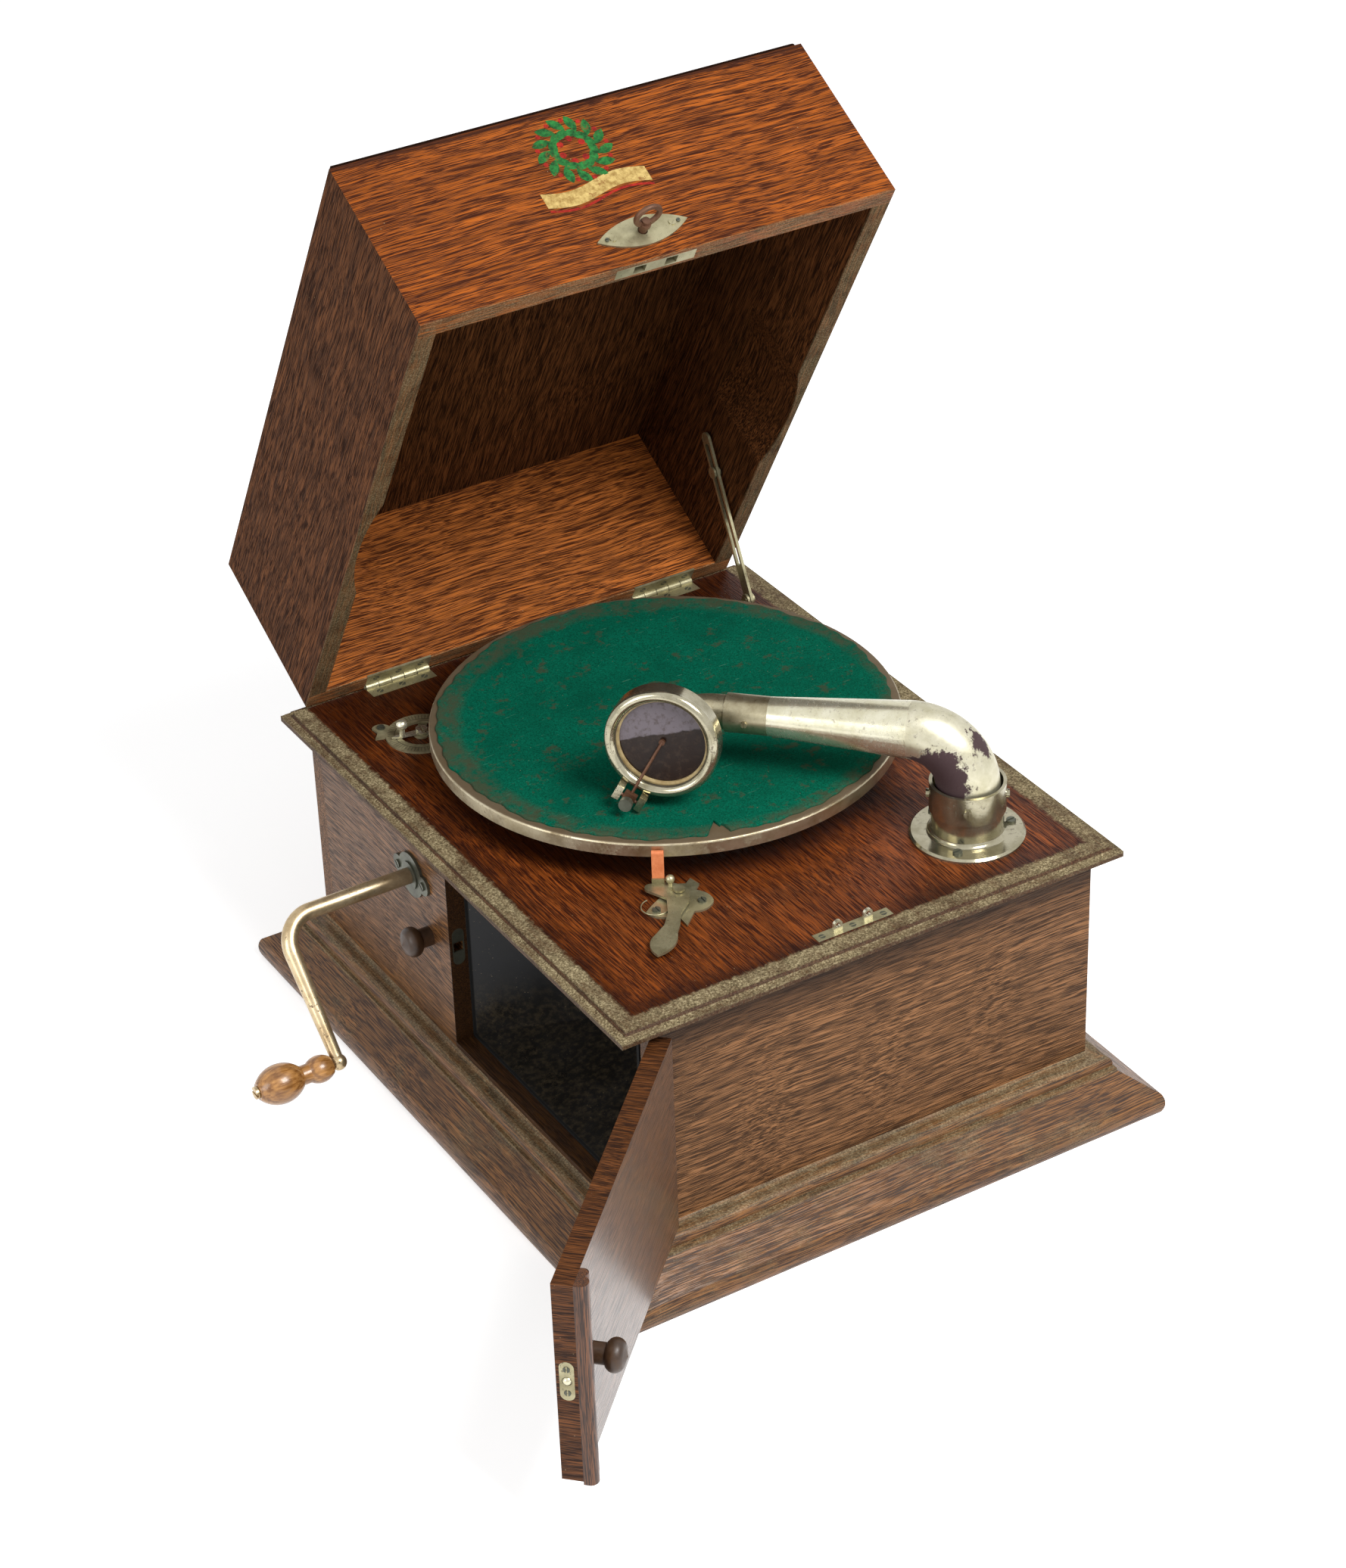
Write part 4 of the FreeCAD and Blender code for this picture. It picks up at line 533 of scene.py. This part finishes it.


# Mica: dark brown below a slanted line, with a painted grey-violet sheen above it, cloudy
def mica_material():
    brown_below, painted_sheen_violet, stain_brown = tone(40, 29, 24), tone(112, 104, 110), tone(66, 52, 42)
    slope = -0.35
    line_low, line_high = head.z + 0.0055, head.z + 0.0065
    g = Graph("mica_sheet")
    flat = g.coord()
    x, _, z = g.axes(flat)
    cloud = g.noise(flat, 110, detail=5, rough=0.65)
    slanted = g.plus(z, g.times(g.minus(x, head.x), slope))
    # painted sheen above the slanted line
    above = g.between(g.plus(slanted, g.times(cloud, 0.004)), line_low, line_high)
    stain = g.rise(g.noise(flat, 260, detail=4, rough=0.7), 0.50, 0.68, full=0.6)
    colour = g.mix(stain, g.mix(above, brown_below, painted_sheen_violet), stain_brown)
    g.set(Base_Color=colour, Roughness=g.ramp(cloud, (0.3, 0.16), (0.7, 0.30)), Specular_IOR_Level=0.25)
    g.bump(cloud, strength=0.05, distance=0.0002)
    return g.material


# Graduated ring of the speed regulator: engraved ticks by angle, and a line inside them
def dial_material():
    plate, tarnish, cut_dark = tone(160, 152, 120), tone(112, 104, 78), tone(48, 42, 32)
    tick_count = 60
    tick_in, tick_out, tick_soft = 0.0152, 0.0185, 0.0003
    line_in, line_out, line_soft = 0.0147, 0.0149, 0.0002
    g = Graph("dial_engraved")
    flat = g.coord()
    reach, angle, _ = g.polar(flat, dial)
    wave = g.math("SINE", g.times(angle, tick_count))
    ticks = g.times(g.between(wave, 0.80, 0.92), g.band(reach, tick_in, tick_out, tick_soft))
    cut = g.most(ticks, g.band(reach, line_in, line_out, line_soft))
    cloud = g.noise(flat, 160, detail=5, rough=0.65)
    colour = g.mix(g.rise(cloud, 0.35, 0.7), plate, tarnish)
    colour = g.mix(g.times(cut, 0.85), colour, cut_dark)
    g.set(Base_Color=colour, Metallic=0.4, Roughness=g.ramp(cloud, (0.3, 0.38), (0.7, 0.55)))
    g.bump(g.minus(1, cut), strength=0.4, distance=0.0002)
    return g.material


# Printed ornament with its colour rubbed through to the wood
def print_material(name, light, dark):
    wood = tone(120, 66, 30)
    g = Graph(name)
    flat = g.coord()
    cloud = g.noise(flat, 320, detail=5, rough=0.7)
    rubbed = g.ramp(g.noise(flat, 190, detail=5, rough=0.75), (0.34, 0.75), (0.42, 0))
    colour = g.mix(rubbed, g.ramp(cloud, (0.36, dark), (0.62, light)), wood)
    g.set(Base_Color=colour, Roughness=g.ramp(cloud, (0.3, 0.40), (0.7, 0.55)), Specular_IOR_Level=0.2)
    return g.material


# Stains of the oak: light and dark tone of each
ORANGE = (tone(158, 84, 32), tone(56, 26, 13))
AMBER = (tone(180, 104, 50), tone(66, 34, 18))
BROWN = (tone(142, 100, 66), tone(60, 42, 29))
DEEP = (tone(106, 66, 39), tone(42, 26, 18))
RED = (tone(130, 68, 30), tone(48, 20, 10))
WARM = (tone(132, 90, 52), tone(52, 34, 23))
DOOR_STAIN = (tone(104, 70, 44), tone(52, 34, 23))
LID = (lid_axis, (lid_turn, 0, 0))
DOOR = (door_axis, (0, 0, -door_turn))

nickel = plated("nickel_worn", tone(228, 224, 200), tone(204, 198, 167), tone(70, 54, 44),
                rough=0.25, pitted=0.6, metal=0.8)
# a darker copy of the worn nickel: painted shade on the tonearm's base and the soundbox case
nickel_painted_shade = plated("nickel_painted_shade", tone(178, 172, 149), tone(140, 133, 107), tone(70, 56, 44),
                      rough=0.17, pitted=0.7, metal=0.9)
nickel_elbow = plated("nickel_elbow", tone(214, 209, 186), tone(184, 178, 148), tone(62, 44, 46),
                      rough=0.36, pitted=0.8, metal=0.8, extra=elbow_bare)
nickel_dull = plated("nickel_dull", tone(184, 175, 146), tone(140, 128, 100), tone(66, 50, 38),
                     rough=0.34, pitted=0.9, metal=0.85)
nickel_rim = plated("nickel_rim", tone(196, 186, 160), tone(160, 146, 116), tone(92, 74, 52),
                    rough=0.38, pitted=0.8, extra=rim_rust)
silver = plated("nickel_silver", tone(176, 169, 136), tone(132, 124, 94), tone(70, 58, 42),
                rough=0.34, pitted=0.8, metal=0.7)
steel_dark = plated("steel_dark", tone(98, 100, 88), tone(70, 70, 60), tone(60, 44, 34),
                    rough=0.45, pitted=0.8, metal=0.6)
rusty = plated("steel_rusty", tone(108, 76, 56), tone(80, 52, 36), tone(120, 70, 40),
               rough=0.55, pitted=0.9, metal=0.4)
crank_metal = plated("crank_worn", tone(206, 186, 150), tone(168, 142, 104), tone(84, 62, 44),
                     rough=0.34, pitted=0.9, metal=0.85, extra=crank_grime)
motor_steel = plated("motor_steel", tone(158, 156, 148), tone(128, 125, 118), tone(70, 52, 44),
                     rough=0.35, pitted=0.5)
knob_wood = simple("knob_dark", tone(46, 32, 22), tone(78, 56, 38), scale=90, rough=0.40, bump=0.15)
cream = simple("gasket_cream", tone(196, 176, 130), tone(150, 126, 84), scale=180, rough=0.55)
leather = simple("leather_tan", tone(232, 140, 92), tone(205, 112, 66), scale=220, rough=0.65,
                 bump=0.4, depth=0.0004)

finish = {
    "base_board": oak("oak_base", "x", *DEEP),
    "front_panel": oak("oak_front", "x", *BROWN, shade=panel_painted_shade),
    "back_panel": oak("oak_back", "x", *BROWN, shade=panel_painted_shade),
    "right_panel": oak("oak_right", "y", *BROWN, shade=panel_painted_shade),
    "left_panel": oak("oak_left", "y", *WARM, shade=jamb_shade, gloss=0.2, sheen=0.08),
    "motor_board": oak("oak_deck", "y", *RED, shade=deck_painted_shade, dust=deck_dust),
    "lid_front": oak("oak_lid_front", "x", *ORANGE, LID, lid_rim, lid_dust, gloss=0.1),
    "lid_back": oak("oak_lid_back", "x", *AMBER, LID, dust=lid_dust, gloss=0.1),
    "lid_sides": oak("oak_lid_sides", "y", *DEEP, LID, dust=lid_dust, gloss=0.04, rough=0.55),
    "lid_top": oak("oak_lid_top", "y", *DEEP, LID, lid_edge_painted_shade, gloss=0.03, rough=0.65),
    "door_panel": oak("oak_door", "y", *DOOR_STAIN, DOOR, gloss=0.5, sheen=0.6),
    "door_astragal": oak("oak_astragal", "z", *DEEP, DOOR, gloss=0.4, sheen=0.2),
    "turntable_felt": felt_material(),
    "diaphragm": mica_material(),
    "speed_dial": dial_material(),
    "crank_handle": handle_material(),
}
shared = [
    (enamel_material(), "horn throat_elbow"),
    (knob_wood, "side_knob door_knob"),
    (cream, "soundbox_gaskets"),
    (leather, "brake_pad"),
    (nickel_rim, "turntable"),
    (nickel_elbow, "tonearm_elbow"),
    (crank_metal, "crank_arm"),
    (rusty, "stylus_bar lid_key"),
    (steel_dark, "crank_escutcheon strike_plate needle_screw deck_screws"),
    (nickel, "tonearm_tube catch_ball spindle speed_lever"),
    (nickel_painted_shade, "tonearm_base soundbox_case"),
    (nickel_dull, "tonearm_sleeve gooseneck"),
    (silver, "lid_hinge_lower lid_hinge_upper door_hinge_fixed door_hinge_moving lid_stay stay_bracket"),
    (silver, "stay_stud brake_plate brake_lever lock_case lock_escutcheon catch_plate"),
    (motor_steel, "motor_plate motor_lower_plate winding_pinion spring_barrel barrel_arbor second_wheel"),
    (motor_steel, "governor"),
]
for material, names in shared:
    finish.update({name: material for name in names.split()})


# Give a node one material, or a second one on the faces that a test picks
def dress(name, material, second=None, picks=None):
    data = nodes[name].data
    data.materials.clear()
    data.materials.append(material)
    if second:
        data.materials.append(second)
        for face in data.polygons:
            face.material_index = 1 if picks(face) else 0


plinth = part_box("plinth_mouldings")[1]
door_face = door_open.to_3x3() @ X
FACING = 0.7
STAPLE_HEIGHT = 0.0008


def on_plinth_side(face):
    return abs(face.center.x) / plinth.x > abs(face.center.y) / plinth.y


def on_door_edge(face):
    return abs(face.normal.dot(door_face)) <= FACING


def on_staple(face):
    return face.center.z > deck_top + STAPLE_HEIGHT


def on_board_end(face):
    return abs(face.normal.x) > FACING


for name, material in finish.items():
    dress(name, material)
plinth_woods = [oak("oak_plinth_" + grain, grain, *WARM, dust=plinth_dust, gloss=0.3, sheen=0.1)
                for grain in "xy"]
dress("plinth_mouldings", *plinth_woods, on_plinth_side)
dress("door_panel", finish["door_panel"], oak("oak_door_edge", "x", *DEEP, DOOR), on_door_edge)
dress("lid_catch", silver, nickel, on_staple)
for name in ("lid_front", "lid_back"):
    dress(name, finish[name], finish["lid_sides"], on_board_end)


# Eased edges, which the solids keep sharp
def ease(made, width):
    edge = made.modifiers.new("eased", "BEVEL")
    edge.width = width
    edge.segments = 2
    edge.limit_method = "ANGLE"
    edge.angle_limit = math.radians(50)


BOARD_EASE = 0.0007
for name in ("front_panel", "back_panel", "right_panel", "lid_front", "door_panel"):
    ease(nodes[name], BOARD_EASE)


def place_object(name, data):
    made = bpy.data.objects.new(name, data)
    scene.collection.objects.link(made)
    return made


# A new piece that rides on a body of the frame
def piece(name, body, slot, points, faces, *materials):
    data = bpy.data.meshes.new(name)
    data.from_pydata(points, [], faces)
    shape = bmesh.new()
    shape.from_mesh(data)
    bmesh.ops.recalc_face_normals(shape, faces=shape.faces)
    shape.to_mesh(data)
    shape.free()
    for material in materials:
        data.materials.append(material)
    made = place_object(name, data)
    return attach(made, body)


# Torn nick at the front of the felt: angle in degrees and depth, from one side to the other
NICK = ((-111.2, 0), (-110.3, 0.0045), (-108.5, 0.0110), (-107.5, 0.0060), (-106.7, 0.0080), (-105.5, 0))
FELT_SHRINK = 0.0024
FRAY = 0.0005
FRAY_WAVES = ((5, 1), (11, 0), (23, 2), (57, 0))


def nick_depth(degrees):
    for (start, start_depth), (end, end_depth) in zip(NICK, NICK[1:]):
        if start <= degrees <= end:
            return start_depth + (end_depth - start_depth) * (degrees - start) / (end - start)
    return 0


def felt_edge(angle):
    fray = FRAY * sum(math.sin(count * angle + phase) for count, phase in FRAY_WAVES)
    return felt_radius - FELT_SHRINK + fray - nick_depth(math.degrees(angle))


# Felt disc with a wavy, frayed edge, turned from a closed section
def make_felt():
    steps = 720
    hole = 0.0052
    ring_shares = (0.3, 0.6, 0.85)
    rounding = ((0.0012, 0), (0.0003, 0.0003), (0, 0.0008))
    low, top = felt_low.z, felt_high.z
    points = []
    for k in range(steps):
        angle = math.tau * k / steps - math.pi
        edge = felt_edge(angle)
        section = [(hole, low), (hole, top)] + [(share * felt_radius, top) for share in ring_shares]
        section += [(edge - inward, top - down) for inward, down in rounding] + [(edge, low)]
        points += [(table.x + r * math.cos(angle), table.y + r * math.sin(angle), z) for r, z in section]
    count = len(points) // steps
    faces = []
    for k in range(steps):
        after = (k + 1) % steps
        for i in range(count):
            j = (i + 1) % count
            faces.append((k * count + i, k * count + j, after * count + j, after * count + i))
    felt = piece("felt_cover", "turntable", "felt", points, faces, finish["turntable_felt"])
    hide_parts("turntable_felt")


# Leather strip of the brake, folded over at its top
def make_pad():
    wide = 0.0063
    thick = 0.0012
    half = 0.0015
    bends = 10
    eased = 0.00025
    low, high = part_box("brake_pad")
    centre = middle("brake_pad")
    out = Vector((centre.x - table.x, centre.y - table.y, 0)).normalized()
    side = Vector((-out.y, out.x, 0))

    def arch(radius):
        turns = [math.pi * k / bends for k in range(bends + 1)]
        bend = [(radius * math.cos(turn), high.z - half + radius * math.sin(turn)) for turn in turns]
        return [(radius, low.z)] + bend + [(-radius, low.z)]

    outer, inner = arch(half), arch(half - thick)
    points = []
    for across in (-wide / 2, wide / 2):
        for u, z in outer + inner:
            spot = Vector((centre.x, centre.y, 0)) + out * u + side * across
            points.append((spot.x, spot.y, z))
    n = len(outer)
    far = 2 * n
    faces = [(0, n, far + n, far), (n - 1, 2 * n - 1, far + 2 * n - 1, far + n - 1)]
    for k in range(n - 1):
        faces += [(k, k + 1, far + k + 1, far + k), (n + k, n + k + 1, far + n + k + 1, far + n + k)]
        faces += [(k, k + 1, n + k + 1, n + k), (far + k, far + k + 1, far + n + k + 1, far + n + k)]
    pad = piece("leather_strip", "brake", "pad_leather", points, faces, leather)
    ease(pad, eased)
    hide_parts("brake_pad")


make_felt()
make_pad()


# A closed prism over a flat outline
def add_prism(points, faces, outline, rise):
    start = len(points)
    count = len(outline)
    points.extend(outline)
    points.extend(place + rise for place in outline)
    faces.append(tuple(range(start, start + count)))
    faces.append(tuple(range(start + count, start + 2 * count)))
    for i in range(count):
        j = (i + 1) % count
        faces.append((start + i, start + j, start + count + j, start + count + i))


def circle(radius, steps):
    turns = [math.tau * k / steps for k in range(steps)]
    return [(radius * math.cos(turn), radius * math.sin(turn)) for turn in turns]


# Flat slotted screws, almost flush with their plates: a sunk disc and two half moons beside the slot
def make_screws(name, body, radius, spots):
    steps = 24
    slot_share = 0.2
    sunk = 0.0004
    proud = 0.00012
    spread = math.acos(slot_share)
    moon = [-spread + 2 * spread * k / steps for k in range(steps + 1)]
    points = []
    faces = []
    for place, axis, way in spots:
        across = axis.cross(way)

        def prism(outline, low, top):
            foot = [place + way * u + across * v + axis * low for u, v in outline]
            add_prism(points, faces, foot, axis * (top - low))

        prism(circle(radius, steps), -2 * sunk, -sunk)
        for sign in (-1, 1):
            prism([(radius * math.sin(turn), sign * radius * math.cos(turn)) for turn in moon], -sunk, proud)
    piece(name, body, "fitting_steel", points, faces, steel_dark)


lid_spin = lid_open.to_3x3()
door_spin = door_open.to_3x3()
outward = lid_spin @ -Y

# Lid hinges: three screws in each leaf
SLOT_WAY = Vector((0.8, 0.6, 0))
HINGE_MIDDLES = (-0.0807, 0.0923)
LEAF_SPACING = 0.014
LEAF_IN = 0.0071
LEAF_GAP = 0.0004
LEAF_SCREW = 0.0019
leaf_spots = [Vector((x + out, lid_axis.y - LEAF_IN, deck_top))
              for x in HINGE_MIDDLES for out in (-LEAF_SPACING, 0, LEAF_SPACING)]
make_screws("leaf_screws_lower", "cabinet", LEAF_SCREW, [(spot, Z, SLOT_WAY) for spot in leaf_spots])
make_screws("leaf_screws_upper", "lid", LEAF_SCREW,
            [(lid_open @ (spot + Z * LEAF_GAP), lid_spin @ -Z, lid_spin @ SLOT_WAY) for spot in leaf_spots])

# Lock escutcheon: a pin near each end
PIN_IN = 0.0055
PIN_RADIUS = 0.0011
keyhole_low, keyhole_high = turned_box("lock_escutcheon", lid_closed)
pin_height = (keyhole_low.z + keyhole_high.z) / 2
pin_spots = [Vector((x, keyhole_low.y, pin_height))
             for x in (keyhole_low.x + PIN_IN, keyhole_high.x - PIN_IN)]
make_screws("keyhole_pins", "lid", PIN_RADIUS, [(lid_open @ spot, outward, X) for spot in pin_spots])

# Lid catch on the deck: three screws between and beside the staples
CATCH_SPACING = 0.0185
CATCH_SCREW = 0.0018
catch = middle("lid_catch")
catch_spots = [Vector((catch.x + out, catch.y, deck_top)) for out in (-CATCH_SPACING, 0, CATCH_SPACING)]
make_screws("catch_screws", "cabinet", CATCH_SCREW, [(spot, Z, X) for spot in catch_spots])

# Catch plate on the door's edge: a screw above and below the ball
PLATE_IN = 0.0045
PLATE_SCREW = 0.0017
plate_low, plate_high = turned_box("catch_plate", door_closed)
plate_x = (plate_low.x + plate_high.x) / 2
plate_spots = [Vector((plate_x, plate_high.y, z)) for z in (plate_low.z + PLATE_IN, plate_high.z - PLATE_IN)]
make_screws("plate_screws", "door", PLATE_SCREW,
            [(door_open @ spot, door_spin @ Y, Z) for spot in plate_spots])


# Dust lying in the cove of the deck behind the lid's hinges
def make_cove_dust():
    half_long = 0.145
    section = [(0.1822, 0.1649), (0.1835, 0.1649), (0.1835, 0.1660), (0.1829, 0.1662), (0.1823, 0.1657)]
    points = []
    faces = []
    add_prism(points, faces, [Vector((-half_long, y, z)) for y, z in section], X * 2 * half_long)
    piece("cove_dust", "cabinet", "oak", points, faces, finish["motor_board"])


# Printed wreath of leaves and berries over a plain ribbon on the lid's front, drawn in millimetres
def make_ornament():
    centre = Vector((-0.013, lid_low.y + 0.00002, 0.2385))
    film, layer, layers = 0.00006, 0.000008, 9
    GREEN, RED_INK, CREAM = range(3)
    points = []
    faces = []
    marks = []

    def shape(outline, mark):
        # marks stand at slightly different heights, so that those that overlap share no plane
        foot = [lid_open @ (centre + Vector((u / 1000, 0, v / 1000))) for u, v in outline]
        add_prism(points, faces, foot, outward * (film + layer * (len(faces) % layers)))
        marks.extend([mark] * (len(faces) - len(marks)))

    def leaf(u, v, degrees, length, width):
        steps = 6
        fullness = 0.8
        cos, sin = math.cos(math.radians(degrees)), math.sin(math.radians(degrees))
        edge = [(length * k / steps, width * math.sin(math.pi * k / steps) ** fullness)
                for k in range(steps + 1)]
        edge += [(a, -b) for a, b in reversed(edge[1:-1])]
        shape([(u + a * cos - b * sin, v + a * sin + b * cos) for a, b in edge], GREEN)

    def berry(u, v, radius):
        shape([(u + a, v + b) for a, b in circle(radius, 14)], RED_INK)

    # a ring of leaf pairs, with berries outside and inside it
    pairs, ring, rise = 13, 13, 4
    outer_share, inner_share = 1.45, 0.55
    for k in range(pairs):
        angle = math.tau * k / pairs
        degrees = math.degrees(angle)
        u, v = ring * math.cos(angle), ring * math.sin(angle)
        leaf(u, rise + v, degrees + 48, length=10.5, width=2.6)
        leaf(u, rise + v, degrees + 132, length=9.0, width=2.3)
        berry(outer_share * u, rise + outer_share * v, radius=1.3)
        if k % 2:
            berry(inner_share * u, rise + inner_share * v, radius=1.8)

    # the ribbon, with a red line under it
    ribbon_steps, ribbon_half, ribbon_height, wave = 24, 30, -21, 2.6
    strips = ((-4.6, 4.6, CREAM), (-7.4, -6.0, RED_INK))
    for k in range(ribbon_steps):
        u0, u1 = [ribbon_half * (2 * i / ribbon_steps - 1) for i in (k, k + 1)]
        v0, v1 = [ribbon_height + wave * math.sin(math.pi * u / ribbon_half) for u in (u0, u1)]
        for low, high, mark in strips:
            shape([(u0, v0 + low), (u1, v1 + low), (u1, v1 + high), (u0, v0 + high)], mark)
    inks = [print_material("print_green", tone(46, 122, 58), tone(16, 62, 30)),
            print_material("print_red", tone(172, 44, 32), tone(110, 26, 20)),
            print_material("print_cream", tone(206, 178, 112), tone(150, 120, 66))]
    made = piece("lid_ornament", "lid", "oak", points, faces, *inks)
    for face, mark in zip(made.data.polygons, marks):
        face.material_index = mark


make_cove_dust()
make_ornament()


# A strength that is low for the light on the object, and high where the camera or a reflection sees it
def seen_strength(tree, low, high):
    rays = tree.nodes.new("ShaderNodeLightPath")
    seen = tree.nodes.new("ShaderNodeMath")
    seen.operation = "MAXIMUM"
    tree.links.new(rays.outputs["Is Camera Ray"], seen.inputs[0])
    tree.links.new(rays.outputs["Is Glossy Ray"], seen.inputs[1])
    level = tree.nodes.new("ShaderNodeMapRange")
    tree.links.new(seen.outputs[0], level.inputs[0])
    level.inputs[3].default_value = low
    level.inputs[4].default_value = high
    return level.outputs[0]


# White floor that keeps the object's shadow
FLOOR_HALF = 9
floor_corners = [(-FLOOR_HALF, -FLOOR_HALF, 0), (FLOOR_HALF, -FLOOR_HALF, 0),
                 (FLOOR_HALF, FLOOR_HALF, 0), (-FLOOR_HALF, FLOOR_HALF, 0)]
floor_mesh = bpy.data.meshes.new("floor")
floor_mesh.from_pydata(floor_corners, [], [(0, 1, 2, 3)])
floor = place_object("floor", floor_mesh)
floor_look = Graph("floor_white")
floor_look.set(Base_Color=grey(0.86), Roughness=0.9, Emission_Color=grey(1),
               Emission_Strength=seen_strength(floor_look.tree, low=0, high=0.58))
floor_mesh.materials.append(floor_look.material)

world = bpy.data.worlds.new("studio")
scene.world = world
world.use_nodes = True
background = world.node_tree.nodes["Background"]
background.inputs["Color"].default_value = (*grey(1), 1)
world_strength = seen_strength(world.node_tree, low=0.38, high=1)
world.node_tree.links.new(world_strength, background.inputs["Strength"])


# Rectangular lamp aimed at the middle of the object
def lamp(name, place, width, height, power):
    aim = Vector((0, 0, 0.2))
    light = bpy.data.lights.new(name, "AREA")
    light.shape = "RECTANGLE"
    light.size, light.size_y = width, height
    light.energy = power
    made = place_object(name, light)
    made.location = place
    made.rotation_euler = (aim - Vector(place)).to_track_quat("-Z", "Y").to_euler()


lamp("key", (0.35, -1.45, 1.85), width=0.9, height=0.9, power=46)
lamp("side", (-1.9, -0.4, 0.9), width=0.9, height=1.2, power=13)

# Camera fitted to the photo's edges
camera_data = bpy.data.cameras.new("camera")
camera_data.sensor_fit = "AUTO"
camera_data.sensor_width = 36
camera_data.lens = 89.7146
camera_data.clip_end = 50
camera = place_object("camera", camera_data)
eye = Vector((-0.897584, -1.513657, 1.289936))
right = Vector((0.852075, -0.522534, -0.030432))
down = Vector((-0.303746, -0.446281, -0.841767))
ahead = Vector((0.426271, 0.726492, -0.538982))
camera.matrix_world = Matrix.Translation(eye) @ Matrix((right, -down, -ahead)).transposed().to_4x4()
scene.camera = camera
scene.view_settings.view_transform = "Standard"
